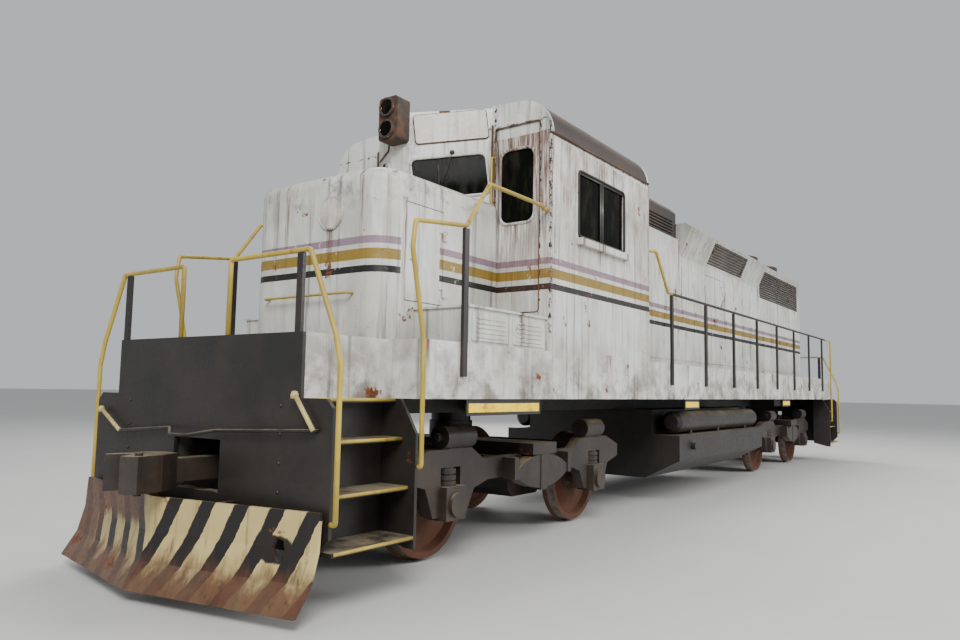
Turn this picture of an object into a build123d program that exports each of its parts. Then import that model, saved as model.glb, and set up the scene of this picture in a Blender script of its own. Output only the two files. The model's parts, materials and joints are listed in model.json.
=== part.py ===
from build123d import *
import os
from math import atan2, cos, degrees, hypot, pi, radians, sin

# Four-axle road-switcher diesel locomotive with a low nose, standing on its wheel flanges.
# Millimetres. X points forward, Y to the locomotive's left, Z up. The origin is on the floor,
# halfway between the coupler faces, on the centre line.

# Overall sizes
COUPLER_FACE_X = 9017
END_PLATE_X = 8380
PLATE_T = 30
DECK_Z = 1920
DECK_T = 60
SILL_Y = 1524
SILL_T = 30
SILL_DEPTH = 460
SILL_BOTTOM_Z = DECK_Z - SILL_DEPTH

# Running gear
FLANGE_R = 533
TREAD_R = 508
AXLE_Z = FLANGE_R
AXLE_R = 95
JOURNAL_R = 80
JOURNAL_END_Y = 1110
WHEEL_INNER_Y = 676
WHEEL_WIDTH = 140
FLANGE_T = 32
BEARING_GAP = 0.5
TRUCK_X = 5180
AXLE_SPACING = 2744
HALF_BASE = AXLE_SPACING / 2
SIDE_FRAME_Y0 = 960
SIDE_FRAME_Y1 = 1080
FRAME_TOP_Z = 900
FRAME_END_X = 2000
BOWL_Z = 1200
PIVOT_GAP = 0.3
PIVOT_PIN_R = 60
GIRDER_BOTTOM_Z = 1300

# Step wells
STEP_WELL_X = 7500
WELL_Y = 1180
STEP_OUT_Y = 1500
STEP_BOTTOM_Z = 350

# Nose, cab and hood
NOSE_X0 = 5600
NOSE_X1 = 7300
NOSE_HALF = 880
NOSE_WALL = 25
NOSE_CORNER_R = 260
NOSE_TOP_R = 110
CAB_X0 = 3200
CAB_X1 = 5600
CAB_WALL = 50
CAB_HALF = SILL_Y
ROOF_Z = 4540
EAVE_Z = ROOF_Z - 420
SHOULDER_R = 380
SHOULDER_Z = EAVE_Z + SHOULDER_R
BAY_HALF = 800
BAY_X = 6150
BAY_FRONT_HALF = 130
BAY_ROOF_Z0 = ROOF_Z - 35
BAY_ROOF_Z1 = ROOF_Z - 125
BAY_TILT = 7.5
WINDSCREEN_W = 780
WINDSCREEN_H = 420
WINDSCREEN_Z = ROOF_Z - 795
WINDSCREEN_R = 60
WINDSCREEN_SILL = 65
NOSE_TOP_Z = WINDSCREEN_Z - WINDSCREEN_H / 2 - WINDSCREEN_SILL
PANE_Z = EAVE_Z - 500
CAB_FLOOR_Z = 2280
CAB_FLOOR_T = 80
BATTERY_TOP_Z = 2250
BATTERY_X1 = 6860
BATTERY_Y1 = 1480
HOOD_HALF = 915
HOOD_WALL = 40
FILTER_X0 = 560
HATCH_HALF = 850
HATCH_TOP_Z = ROOF_Z - 70
HATCH_H = 520
FILTER_TOP_Z = HATCH_TOP_Z - HATCH_H
ENGINE_X0 = -3760
ENGINE_TOP_Z = 3700
FLARE_HALF = 1110
FLARE_Z = 4150
HOUSING_TOP_Z = 4220
RADIATOR_X0 = -7450
GRILLE_Z0 = 3530
GRILLE_Z1 = 4130
RADIATOR_TOP_Z = 4300

# Doors and their hinges
DOOR_T = 30
DOOR_GAP = 8
HINGE_OUT = 14
HINGE_R = 12
HINGE_H = 70
HINGE_STRAP = 60

# Handrails
RAIL_R = 19
RAIL_Y = 1545
RAIL_Z = 2830
LADDER_FRONT_X = END_PLATE_X - PLATE_T / 2
LADDER_REAR_X = STEP_WELL_X + PLATE_T / 2


def block(x0, x1, y0, y1, z0, z1, mode=Mode.ADD):
    """A box between two corners."""
    with Locations(((x0 + x1) / 2, (y0 + y1) / 2, (z0 + z1) / 2)):
        Box(x1 - x0, y1 - y0, z1 - z0, mode=mode)


def prism(plane, outline, depth, mode=Mode.ADD):
    """A closed outline of straight runs, extruded from its plane."""
    with BuildSketch(plane) as face:
        with BuildLine():
            Polyline(*outline, close=True)
        make_face()
    extrude(face.sketch, amount=depth, mode=mode)


def side_prism(outline, y0, y1, mode=Mode.ADD):
    """An outline in X and Z, as thick as from y0 to y1."""
    prism(Plane.XZ.offset(-y1), outline, y1 - y0, mode)


def cross_prism(outline, x0, x1, mode=Mode.ADD):
    """An outline in Y and Z, from x0 to x1."""
    prism(Plane.YZ.offset(x0), outline, x1 - x0, mode)


def plan_prism(outline, z0, z1, mode=Mode.ADD):
    """An outline in X and Y, from z0 to z1."""
    prism(Plane.XY.offset(z0), outline, z1 - z0, mode)


def upright(x, y, z0, z1, radius, mode=Mode.ADD):
    """A vertical round bar or hole."""
    with Locations((x, y, (z0 + z1) / 2)):
        Cylinder(radius, z1 - z0, mode=mode)


def crosswise(x, y0, y1, z, radius, mode=Mode.ADD):
    """A round bar or hole along Y."""
    with Locations(Location((x, (y0 + y1) / 2, z), (90, 0, 0))):
        Cylinder(radius, y1 - y0, mode=mode)


def lengthwise(x0, x1, y, z, radius, mode=Mode.ADD):
    """A round bar or hole along X."""
    with Locations(Location(((x0 + x1) / 2, y, z), (0, 90, 0))):
        Cylinder(radius, x1 - x0, mode=mode)


def tube(points, radius=RAIL_R):
    """A bent round tube: straight runs that meet in mitres."""
    with BuildLine() as route:
        Polyline(*points)
    with BuildSketch(Plane(origin=route.line @ 0, z_dir=route.line % 0)) as section:
        Circle(radius)
    sweep(section.sketch, path=route.line, transition=Transition.RIGHT)


def mirrored_pair():
    """Adds the right-hand copy of what the part holds so far."""
    mirror(about=Plane.XZ)


def turned(part):
    """The same piece at the other end of the locomotive."""
    return part.rotate(Axis.Z, 180)


def cab_outline(inset=0, mode=Mode.ADD):
    """The cab's cross section in Y and Z, with rounded shoulders, drawn inside a sketch."""
    half = CAB_HALF - inset
    radius = SHOULDER_R - inset
    inner = half - radius
    turn = radius * cos(radians(45))
    top = ROOF_Z - inset
    with BuildLine() as outline:
        Polyline((-half, EAVE_Z), (-half, DECK_Z), (half, DECK_Z), (half, EAVE_Z))
        ThreePointArc((half, EAVE_Z), (inner + turn, EAVE_Z + turn), (inner, EAVE_Z + radius))
        ThreePointArc((inner, EAVE_Z + radius), (0, top), (-inner, EAVE_Z + radius))
        ThreePointArc((-inner, EAVE_Z + radius), (-inner - turn, EAVE_Z + turn), (-half, EAVE_Z))
    make_face(outline.line.edges(), mode=mode)


def front_plan(inset=0):
    """The plan of the cab's front, with its V-shaped windscreen bay."""
    return [
        (CAB_X1 - inset, CAB_HALF),
        (CAB_X1 - inset, BAY_HALF - inset * 0.4),
        (BAY_X - inset, BAY_FRONT_HALF - inset * 0.4),
        (BAY_X - inset, -BAY_FRONT_HALF + inset * 0.4),
        (CAB_X1 - inset, -BAY_HALF + inset * 0.4),
        (CAB_X1 - inset, -CAB_HALF),
    ]


def bay_plane(side, z):
    """The outer face of one half of the windscreen bay, seen from outside with Z up."""
    run_x = CAB_X1 - BAY_X
    run_y = BAY_HALF - BAY_FRONT_HALF
    middle = ((CAB_X1 + BAY_X) / 2, side * (BAY_HALF + BAY_FRONT_HALF) / 2, z)
    return Plane(origin=middle, x_dir=(side * run_x, run_y, 0), z_dir=(run_y, -side * run_x, 0))


def rounded_hole(plane, width, height, radius, depth, mode=Mode.SUBTRACT, tilt=0):
    """A rounded rectangle cut through, or filled, on both sides of a plane."""
    with BuildSketch(plane) as face:
        RectangleRounded(width, height, radius, rotation=tilt)
    extrude(face.sketch, amount=depth, both=True, mode=mode)


# The nose door's leaf, and where its hinges sit as shares of its height
NOSE_DOOR_Z0 = 2310
NOSE_DOOR_Z1 = NOSE_TOP_Z - 290
NOSE_DOOR_H = NOSE_DOOR_Z1 - NOSE_DOOR_Z0
NOSE_HINGES = [NOSE_DOOR_Z0 + NOSE_DOOR_H * share for share in (14 / 87, 67 / 87)]

# Doors: each lies in its wall flush with the face it opens toward, so the cab doors swing inward.
DOORS = {
    # name: (way it opens, hinge edge, free edge, face, bottom, top, hinge heights)
    "nose_door": ("+Y", 6480, 7000, NOSE_HALF, NOSE_DOOR_Z0, NOSE_DOOR_Z1, NOSE_HINGES),
    "cab_front_door": ("-X", 1380, 850, CAB_X1 - CAB_WALL, 2320, EAVE_Z + 130, (2500, 3200, EAVE_Z - 120)),
    "cab_rear_door": ("+X", -1380, -960, CAB_X0 + CAB_WALL, 2320, EAVE_Z + 130, (2500, 3200, EAVE_Z - 120)),
    "engine_door_left_front": ("+Y", -600, -1104, HOOD_HALF, 2050, 3550, (2200, 3300)),
    "engine_door_left_rear": ("+Y", -1616, -1112, HOOD_HALF, 2050, 3550, (2200, 3300)),
    "engine_door_right_front": ("-Y", -600, -1104, -HOOD_HALF, 2050, 3550, (2200, 3300)),
    "engine_door_right_rear": ("-Y", -1616, -1112, -HOOD_HALF, 2050, 3550, (2200, 3300)),
}


def wall_box(outward, a0, a1, face, b0, b1, z0, z1, mode=Mode.ADD):
    """A box on a wall: a runs along the wall, b outward from its face."""
    sign = 1 if outward[0] == "+" else -1
    c0, c1 = sorted((face + sign * b0, face + sign * b1))
    a0, a1 = sorted((a0, a1))
    if outward[1] == "Y":
        block(a0, a1, c0, c1, z0, z1, mode)
    else:
        block(c0, c1, a0, a1, z0, z1, mode)


def hinge_knuckle(door, z0, z1, on_door):
    """One hinge knuckle and its strap, on the door or on the wall."""
    outward, hinge, free, face = door[:4]
    sign = 1 if outward[0] == "+" else -1
    toward_door = 1 if free > hinge else -1
    run = toward_door if on_door else -toward_door
    wall_box(outward, hinge + run * 2, hinge + run * HINGE_STRAP, face, -0.5, HINGE_OUT - 4, z0, z1)
    out = face + sign * HINGE_OUT
    x, y = (hinge, out) if outward[1] == "Y" else (out, hinge)
    upright(x, y, z0, z1, HINGE_R)


def door_leaf(door):
    """A flush leaf in its opening, with its halves of the hinges and a latch handle."""
    outward, hinge, free, face, z0, z1, heights = door
    wall_box(outward, hinge, free, face, -DOOR_T, 0, z0, z1)
    for z in heights:
        hinge_knuckle(door, z, z + HINGE_H, True)
    inward = 1 if hinge > free else -1
    latch = free + inward * 70
    middle = (z0 + z1) / 2
    wall_box(outward, latch - 18, latch + 18, face, 0, 22, middle - 70, middle + 70)


def door_opening(door):
    """The hole that a leaf fills with a gap all round, and the wall's halves of its hinges."""
    outward, hinge, free, face, z0, z1, heights = door
    gap = DOOR_GAP if free > hinge else -DOOR_GAP
    wall_box(outward, hinge - gap, free + gap, face, -3 * HOOD_WALL, 1, z0 - DOOR_GAP, z1 + DOOR_GAP,
             Mode.SUBTRACT)
    for z in heights:
        hinge_knuckle(door, z - HINGE_H - PIVOT_GAP, z - PIVOT_GAP, False)


# Deck plate, and under it two deep girders, a cross bolster with a pin over each truck, and a
# draft pocket at each end that holds the coupler's butt.
GIRDER_Y0 = 280
GIRDER_Y1 = 420
BOLSTER_HALF_X = 260
POCKET_X0 = 7300
COUPLER_PIVOT_X = 7800
COUPLER_Z = 901
SHANK_HALF = 85
SHANK_HALF_Y = 75
JAW_X = 7700
JAW_T = 28
JAW_PIN_R = 40

with BuildPart() as deck:
    inner_x = STEP_WELL_X - SILL_T
    block(-inner_x, inner_x, -SILL_Y + SILL_T, SILL_Y - SILL_T, DECK_Z - DECK_T, DECK_Z)
    block(-END_PLATE_X + PLATE_T, END_PLATE_X - PLATE_T, -WELL_Y + SILL_T, WELL_Y - SILL_T, DECK_Z - DECK_T,
          DECK_Z)

with BuildPart() as underframe:
    for side in (1, -1):
        y0, y1 = sorted((side * GIRDER_Y0, side * GIRDER_Y1))
        block(-END_PLATE_X + PLATE_T, END_PLATE_X - PLATE_T, y0, y1, GIRDER_BOTTOM_Z, DECK_Z - DECK_T)
    for end in (1, -1):
        x = end * TRUCK_X
        block(x - BOLSTER_HALF_X, x + BOLSTER_HALF_X, -SILL_Y + SILL_T, SILL_Y - SILL_T, 1560,
              DECK_Z - DECK_T)
        block(x - BOLSTER_HALF_X, x + BOLSTER_HALF_X, -900, 900, GIRDER_BOTTOM_Z, 1560)
        upright(x, 0, BOWL_Z, GIRDER_BOTTOM_Z, 220)
        upright(x, 0, BOWL_Z - 120, BOWL_Z, PIVOT_PIN_R)
        x0, x1 = sorted((end * POCKET_X0, end * JAW_X))
        block(x0, x1, -GIRDER_Y0, GIRDER_Y0, 760, DECK_Z - DECK_T)
        x0, x1 = sorted((end * JAW_X, end * (COUPLER_PIVOT_X + 90)))
        for z0 in (COUPLER_Z + SHANK_HALF + PIVOT_GAP, COUPLER_Z - SHANK_HALF - PIVOT_GAP - JAW_T):
            block(x0, x1, -150, 150, z0, z0 + JAW_T)
        upright(end * COUPLER_PIVOT_X, 0, COUPLER_Z - SHANK_HALF - 5, COUPLER_Z + SHANK_HALF + 5, JAW_PIN_R)

# Side sills: the light skirts along both walkways, stepping in behind the step wells.
with BuildPart() as side_sills:
    for end in (1, -1):
        x0, x1 = sorted((end * STEP_WELL_X, end * (END_PLATE_X - PLATE_T)))
        block(x0, x1, WELL_Y - SILL_T, WELL_Y, SILL_BOTTOM_Z, DECK_Z)
        x0, x1 = sorted((end * (STEP_WELL_X - SILL_T), end * STEP_WELL_X))
        block(x0, x1, WELL_Y - SILL_T, SILL_Y, SILL_BOTTOM_Z, DECK_Z)
    block(-STEP_WELL_X, STEP_WELL_X, SILL_Y - SILL_T, SILL_Y, SILL_BOTTOM_Z, DECK_Z)
    mirrored_pair()

# Aprons: short plates behind the sills that hang down and carry the reflective tape.
# Columns: rear end, front end
APRONS = [(-3780, -3220), (1370, 1930), (5720, 6890)]
APRON_T = 14

with BuildPart() as aprons:
    for x0, x1 in APRONS:
        block(x0, x1, SILL_Y - SILL_T - APRON_T, SILL_Y - SILL_T, SILL_BOTTOM_Z - 140, SILL_BOTTOM_Z + 90)
    mirrored_pair()

# Pilots: the end plates, narrower at the deck than below it, with a window for the coupler.
PILOT_BOTTOM_Z = 480
COUPLER_HOLE_Y = 300


def pilot(end):
    with BuildPart() as plate:
        x0, x1 = sorted((end * (END_PLATE_X - PLATE_T), end * END_PLATE_X))
        cross_prism(
            [(-STEP_OUT_Y, PILOT_BOTTOM_Z + 60), (-STEP_OUT_Y + 120, PILOT_BOTTOM_Z - 60),
             (STEP_OUT_Y - 120, PILOT_BOTTOM_Z - 60),
             (STEP_OUT_Y, PILOT_BOTTOM_Z + 60), (STEP_OUT_Y, SILL_BOTTOM_Z - 60),
             (STEP_OUT_Y - 60, SILL_BOTTOM_Z),
             (WELL_Y, SILL_BOTTOM_Z), (WELL_Y, DECK_Z), (-WELL_Y, DECK_Z), (-WELL_Y, SILL_BOTTOM_Z),
             (-STEP_OUT_Y + 60, SILL_BOTTOM_Z), (-STEP_OUT_Y, SILL_BOTTOM_Z - 60)],
            x0, x1)
        block(x0 - 1, x1 + 1, -COUPLER_HOLE_Y, COUPLER_HOLE_Y, 740, 1130, Mode.SUBTRACT)
    return plate.part


pilot_front = pilot(1)
pilot_rear = pilot(-1)

# Snow plow: two curved wings meeting in a V under the front coupler, on brackets from the pilot.
PLOW_NOSE_X = 8720
PLOW_TIP_X = 8440
PLOW_HALF = 1480
PLOW_TOP_Z = 720
PLOW_T = 25
PLOW_SECTION = [(0, PLOW_TOP_Z), (15, 470), (70, 270), (190, 90)]

# The ragged hole rusted through the left wing, in Y and Z
PLOW_HOLE = [(1120, 470), (1150, 540), (1210, 520), (1235, 430), (1195, 380), (1165, 410)]

with BuildPart() as snow_plow:
    sweep_back = Vector(PLOW_TIP_X - PLOW_NOSE_X, PLOW_HALF, 0)
    wing = Plane(origin=(PLOW_NOSE_X, 0, 0), x_dir=(PLOW_HALF, PLOW_NOSE_X - PLOW_TIP_X, 0), z_dir=sweep_back)
    front_line = [(x, -z) for x, z in PLOW_SECTION]
    back_line = [(x - PLOW_T, -z) for x, z in reversed(PLOW_SECTION)]
    start = wing.offset(-300)
    prism(start, front_line + back_line, 2200)
    block(PLOW_TIP_X - 200, COUPLER_FACE_X, 0, PLOW_HALF, 0, PLOW_TOP_Z, Mode.INTERSECT)
    for y in (500, 1250):
        back = PLOW_NOSE_X - (PLOW_NOSE_X - PLOW_TIP_X) * y / PLOW_HALF
        block(END_PLATE_X, back - 8, y - 15, y + 15, 500, PLOW_TOP_Z - 20)
    mirrored_pair()
    cross_prism(PLOW_HOLE, END_PLATE_X + 5, COUPLER_FACE_X, Mode.SUBTRACT)

# Steps: four treads under each corner between the pilot and a rear stringer plate.
# Columns: tread height, how far out it reaches
STEPS = [(420, 1500), (780, 1440), (1140, 1370), (1430, 1290)]
TREAD_T = 30
BACK_T = 15

with BuildPart() as step_wells:
    for end in (1, -1):
        x0, x1 = sorted((end * (STEP_WELL_X + PLATE_T), end * (END_PLATE_X - PLATE_T)))
        for tread_z, reach in STEPS:
            block(x0, x1, WELL_Y - SILL_T, reach, tread_z, tread_z + TREAD_T)
        block(x0, x1, WELL_Y - SILL_T - BACK_T, WELL_Y - SILL_T, STEPS[0][0], SILL_BOTTOM_Z)
        s0, s1 = sorted((end * STEP_WELL_X, end * (STEP_WELL_X + PLATE_T)))
        cross_prism(
            [(WELL_Y - SILL_T - BACK_T, SILL_BOTTOM_Z), (WELL_Y - SILL_T - BACK_T, STEPS[0][0]),
             (STEP_OUT_Y - 80, STEP_BOTTOM_Z),
             (STEP_OUT_Y, STEP_BOTTOM_Z), (STEP_OUT_Y, 1200), (1340, SILL_BOTTOM_Z)],
            s0, s1)
    mirrored_pair()

# Fuel tank between the trucks, with sloped lower sides, and the two air reservoirs on its shoulders.
TANK_X0 = -2100
TANK_X1 = 1900
TANK_HALF = 1400
TANK_BOTTOM_Z = 360
TANK_SHOULDER_Z = 960
RESERVOIR_R = 150
RESERVOIR_Y = 1220

with BuildPart() as fuel_tank:
    cross_prism(
        [(-900, TANK_BOTTOM_Z), (900, TANK_BOTTOM_Z), (TANK_HALF, TANK_BOTTOM_Z + 260),
         (TANK_HALF, TANK_SHOULDER_Z),
         (1000, TANK_SHOULDER_Z), (1000, GIRDER_BOTTOM_Z), (-1000, GIRDER_BOTTOM_Z), (-1000, TANK_SHOULDER_Z),
         (-TANK_HALF, TANK_SHOULDER_Z), (-TANK_HALF, TANK_BOTTOM_Z + 260)],
        TANK_X0, TANK_X1)
    for y in (TANK_HALF, -TANK_HALF):
        crosswise(TANK_X1 - 500, y - 60, y + 60, TANK_SHOULDER_Z - 150, 60)

with BuildPart() as air_reservoirs:
    centre_z = TANK_SHOULDER_Z + RESERVOIR_R + 25
    lengthwise(TANK_X0 + 150, TANK_X1 - 150, RESERVOIR_Y, centre_z, RESERVOIR_R)
    chamfer(air_reservoirs.edges().filter_by(GeomType.CIRCLE), 50)
    for x in (TANK_X0 + 700, 0, TANK_X1 - 700):
        block(x - 30, x + 30, RESERVOIR_Y - 90, RESERVOIR_Y + 90, TANK_SHOULDER_Z, centre_z)
    mirrored_pair()


# Wheelsets: both wheels and the axle turned as one profile of axial place and radius.
def wheelset(x):
    inner = WHEEL_INNER_Y
    outer = inner + WHEEL_WIDTH
    half = [
        (0, AXLE_R), (inner - 30, AXLE_R), (inner - 30, 150), (inner + 35, 150), (inner + 35, 420),
        (inner, 450),
        (inner, FLANGE_R - 12), (inner + 12, FLANGE_R), (inner + FLANGE_T, TREAD_R + 8),
        (inner + FLANGE_T + 12, TREAD_R),
        (outer, TREAD_R - 6), (outer, 450), (inner + 70, 420), (inner + 70, 150), (outer + 20, 150),
        (outer + 20, AXLE_R),
        (SIDE_FRAME_Y0 - 60, AXLE_R), (SIDE_FRAME_Y0 - 60, JOURNAL_R), (JOURNAL_END_Y, JOURNAL_R),
    ]
    other = [(-y, r) for y, r in reversed(half)]
    with BuildPart() as axle:
        with BuildSketch(Plane.XY) as section:
            with BuildLine():
                Polyline((-JOURNAL_END_Y, 0), *other, *half[1:], (JOURNAL_END_Y, 0), close=True)
            make_face()
        revolve(section.sketch, axis=Axis.X)
    return axle.part.rotate(Axis.Z, 90).translate((x, 0, AXLE_Z))


wheelsets = {
    "wheelset_1": wheelset(TRUCK_X + HALF_BASE),
    "wheelset_2": wheelset(TRUCK_X - HALF_BASE),
    "wheelset_3": wheelset(-TRUCK_X + HALF_BASE),
    "wheelset_4": wheelset(-TRUCK_X - HALF_BASE),
}

# Truck frame: two cast side frames with pedestal jaws and journal boxes, cross transoms, end beams
# and the bolster with its bowl. Local X is measured from the truck's centre.
JAW_HALF = 140
LEG = 100
BOX_HALF = 125
BOX_TOP_Z = 690
BOX_BOTTOM_Z = 400
JOURNAL_Y0 = 935
JOURNAL_Y1 = 1150
SIDE_OUTLINE_HALF = [
    # from the middle to one end: along the top, then back along the bottom
    (0, FRAME_TOP_Z), (880, FRAME_TOP_Z), (1060, 1010), (1690, 1010), (FRAME_END_X, FRAME_TOP_Z),
    (FRAME_END_X, 760),
    (1720, 690), (HALF_BASE + JAW_HALF + LEG, 430), (HALF_BASE + JAW_HALF, 430), (HALF_BASE + JAW_HALF, 850),
    (HALF_BASE - JAW_HALF, 850), (HALF_BASE - JAW_HALF, 430), (HALF_BASE - JAW_HALF - LEG, 430),
    (1020, 640), (800, 700),
    (0, 700),
]
BOLSTER_HALF = 230
TRANSOM_X0 = 320
TRANSOM_X1 = 430


def truck_frame(x):
    outline = SIDE_OUTLINE_HALF[:-1] + [(-a, z) for a, z in reversed(SIDE_OUTLINE_HALF[1:-1])]
    outline = [(x + a, z) for a, z in outline]
    with BuildPart() as frame:
        side_prism(outline, SIDE_FRAME_Y0, SIDE_FRAME_Y1)
        for end in (1, -1):
            axle_x = x + end * HALF_BASE
            block(axle_x - JAW_HALF, axle_x + JAW_HALF, JOURNAL_Y0, JOURNAL_Y1, BOX_BOTTOM_Z, BOX_TOP_Z)
            crosswise(axle_x, JOURNAL_Y1, JOURNAL_Y1 + 30, AXLE_Z, 105)
            crosswise(axle_x, JOURNAL_Y0 - 1, JOURNAL_END_Y + 5, AXLE_Z, JOURNAL_R + BEARING_GAP,
                      Mode.SUBTRACT)
        mirrored_pair()
        for end in (1, -1):
            x0, x1 = sorted((x + end * TRANSOM_X0, x + end * TRANSOM_X1))
            block(x0, x1, -SIDE_FRAME_Y0, SIDE_FRAME_Y0, 720, 880)
            x0, x1 = sorted((x + end * (FRAME_END_X - 60), x + end * FRAME_END_X))
            block(x0, x1, -SIDE_FRAME_Y0, SIDE_FRAME_Y0, 790, FRAME_TOP_Z)
        block(x - BOLSTER_HALF, x + BOLSTER_HALF, -1230, 1230, FRAME_TOP_Z, FRAME_TOP_Z + 110)
        block(x - BOLSTER_HALF, x + BOLSTER_HALF, -900, 900, 760, FRAME_TOP_Z)
        upright(x, 0, FRAME_TOP_Z, BOWL_Z - PIVOT_GAP, 240)
        upright(x, 0, 1000, BOWL_Z, PIVOT_PIN_R + 1, Mode.SUBTRACT)
    return frame.part


# Springs: a leaf pack in a hanger under each bolster end, and a coil over each journal box.
LEAF_Y0 = 1095
LEAF_Y1 = 1215
LEAF_HALF = 540
LEAF_TOP_Z = FRAME_TOP_Z
LEAF_BOTTOM_Z = 560
COIL_R = 95
COIL_RINGS = 3


def truck_springs(x):
    middle = (LEAF_TOP_Z + LEAF_BOTTOM_Z) / 2
    step = (850 - BOX_TOP_Z) / COIL_RINGS
    with BuildPart() as springs:
        with BuildSketch(Plane.XZ.offset(-LEAF_Y1)) as pack:
            with BuildLine():
                ThreePointArc((x - LEAF_HALF, middle), (x, LEAF_TOP_Z), (x + LEAF_HALF, middle))
                ThreePointArc((x + LEAF_HALF, middle), (x, LEAF_BOTTOM_Z), (x - LEAF_HALF, middle))
            make_face()
        extrude(pack.sketch, amount=LEAF_Y1 - LEAF_Y0)
        block(x - 60, x + 60, LEAF_Y0 - 5, LEAF_Y1 + 8, LEAF_BOTTOM_Z - 20, LEAF_TOP_Z)
        for end in (1, -1):
            hanger = x + end * (LEAF_HALF - 20)
            block(hanger - 35, hanger + 35, SIDE_FRAME_Y1, LEAF_Y1 + 10, middle - 50, FRAME_TOP_Z - 10)
        for end in (1, -1):
            axle_x = x + end * HALF_BASE
            for ring in range(COIL_RINGS):
                z0 = BOX_TOP_Z + ring * step
                upright(axle_x, 1020, z0, z0 + step * 0.7, COIL_R)
                upright(axle_x, 1020, z0 + step * 0.7, z0 + step, COIL_R - 22)
        mirrored_pair()
    return springs.part


# Brake rigging: a shoe before and behind each wheel pair on a hanger, and a cylinder on each corner.
SHOE_R0 = 516
SHOE_R1 = 570
SHOE_Y0 = 725
SHOE_Y1 = 812
SHOE_HALF_DEG = 17


def brake_rigging(x):
    with BuildPart() as brakes:
        for end in (1, -1):
            axle_x = x + end * HALF_BASE
            middle = 0 if end > 0 else 180
            corners = []
            for radius, order in ((SHOE_R1, (1, 0, -1)), (SHOE_R0, (-1, 0, 1))):
                for k in order:
                    angle = radians(middle + k * SHOE_HALF_DEG)
                    corners.append((axle_x + radius * cos(angle), AXLE_Z + radius * sin(angle)))
            with BuildSketch(Plane.XZ.offset(-SHOE_Y1)) as shoe:
                with BuildLine():
                    ThreePointArc(*corners[:3])
                    Line(corners[2], corners[3])
                    ThreePointArc(*corners[3:])
                    Line(corners[5], corners[0])
                make_face()
            extrude(shoe.sketch, amount=SHOE_Y1 - SHOE_Y0)
            h0, h1 = sorted((axle_x + end * (SHOE_R1 - 12), x + end * (FRAME_END_X - 10)))
            block(h0, h1, 715, 775, AXLE_Z - 60, AXLE_Z + 60)
            h0, h1 = sorted((x + end * (FRAME_END_X - 50), x + end * (FRAME_END_X - 10)))
            block(h0, h1, 715, 775, AXLE_Z - 60, 790)
            c0, c1 = sorted((x + end * 1080, x + end * 1500))
            lengthwise(c0, c1, SIDE_FRAME_Y1 - 30, 1010 + 105, 105)
            lengthwise(*sorted((x + end * 1500, x + end * 1560)), SIDE_FRAME_Y1 - 30, 1010 + 105, 40)
            block(x + end * 1290 - 90, x + end * 1290 + 90, SIDE_FRAME_Y1 - 110, SIDE_FRAME_Y1, 1010, 1050)
        mirrored_pair()
    return brakes.part


# Traction motors: one beside each axle, hung on it by two suspension bearings.
def traction_motors(x):
    with BuildPart() as motors:
        for end in (1, -1):
            axle_x = x + end * HALF_BASE
            m0, m1 = sorted((x + end * 520, x + end * 1230))
            block(m0, m1, -430, 430, 330, 880)
            chamfer(motors.edges().filter_by(Axis.Y).group_by(Axis.Z)[0], 90)
            h0, h1 = sorted((x + end * (TRANSOM_X1), x + end * 520))
            block(h0, h1, -150, 150, 740, 860)
            for y in (-380, 380):
                b0, b1 = sorted((x + end * 1220, axle_x + end * 150))
                block(b0, b1, y - 60, y + 60, AXLE_Z - 160, AXLE_Z + 160)
            crosswise(axle_x, -500, 500, AXLE_Z, AXLE_R + BEARING_GAP, Mode.SUBTRACT)
    return motors.part


# Couplers: a shank in the draft jaw, and a head with guard arm and closed knuckle.
HEAD_X = 8640
HEAD_PLAN = [
    # from the shank round the head, in X past the pivot and Y
    (HEAD_X - 60, -75), (HEAD_X + 40, -190), (COUPLER_FACE_X - 40, -190), (COUPLER_FACE_X, -150),
    (COUPLER_FACE_X - 110, -95),
    (COUPLER_FACE_X - 130, 10), (COUPLER_FACE_X - 60, 20), (COUPLER_FACE_X, 60), (COUPLER_FACE_X, 150),
    (COUPLER_FACE_X - 60, 190), (HEAD_X + 120, 175), (HEAD_X - 60, 75),
]
HEAD_HALF_H = 130


def coupler(end):
    with BuildPart() as body:
        block(COUPLER_PIVOT_X, HEAD_X, -SHANK_HALF_Y, SHANK_HALF_Y, COUPLER_Z - SHANK_HALF,
              COUPLER_Z + SHANK_HALF)
        upright(COUPLER_PIVOT_X, 0, COUPLER_Z - SHANK_HALF, COUPLER_Z + SHANK_HALF, SHANK_HALF_Y)
        plan_prism(HEAD_PLAN, COUPLER_Z - HEAD_HALF_H, COUPLER_Z + HEAD_HALF_H)
        upright(COUPLER_FACE_X - 110, 110, COUPLER_Z - HEAD_HALF_H - 20, COUPLER_Z + HEAD_HALF_H + 20, 28)
        upright(COUPLER_PIVOT_X, 0, COUPLER_Z - 200, COUPLER_Z + 200, JAW_PIN_R + BEARING_GAP, Mode.SUBTRACT)
    return body.part if end > 0 else turned(body.part)


# Battery boxes: low steps beside the nose, with louvred doors.
with BuildPart() as battery_boxes:
    block(CAB_X1, BATTERY_X1, NOSE_HALF, BATTERY_Y1, DECK_Z, BATTERY_TOP_Z - 20)
    block(CAB_X1, BATTERY_X1 + 20, NOSE_HALF, BATTERY_Y1 + 20, BATTERY_TOP_Z - 20, BATTERY_TOP_Z)
    for door_x in (CAB_X1 + 60, CAB_X1 + 680):
        block(door_x, door_x + 540, BATTERY_Y1, BATTERY_Y1 + 10, DECK_Z + 30, BATTERY_TOP_Z - 50)
        for row in range(5):
            z0 = DECK_Z + 60 + row * 40
            block(door_x + 60, door_x + 480, BATTERY_Y1 + 10, BATTERY_Y1 + 18, z0, z0 + 14)
    mirrored_pair()

# Nose: a hollow hood with large rounded corners, cut back round the windscreen bay, and a lamp blank.
LAMP_BLANK_Y = 250
LAMP_BLANK_Z = NOSE_TOP_Z - 380
LAMP_BLANK_R = 150

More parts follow.
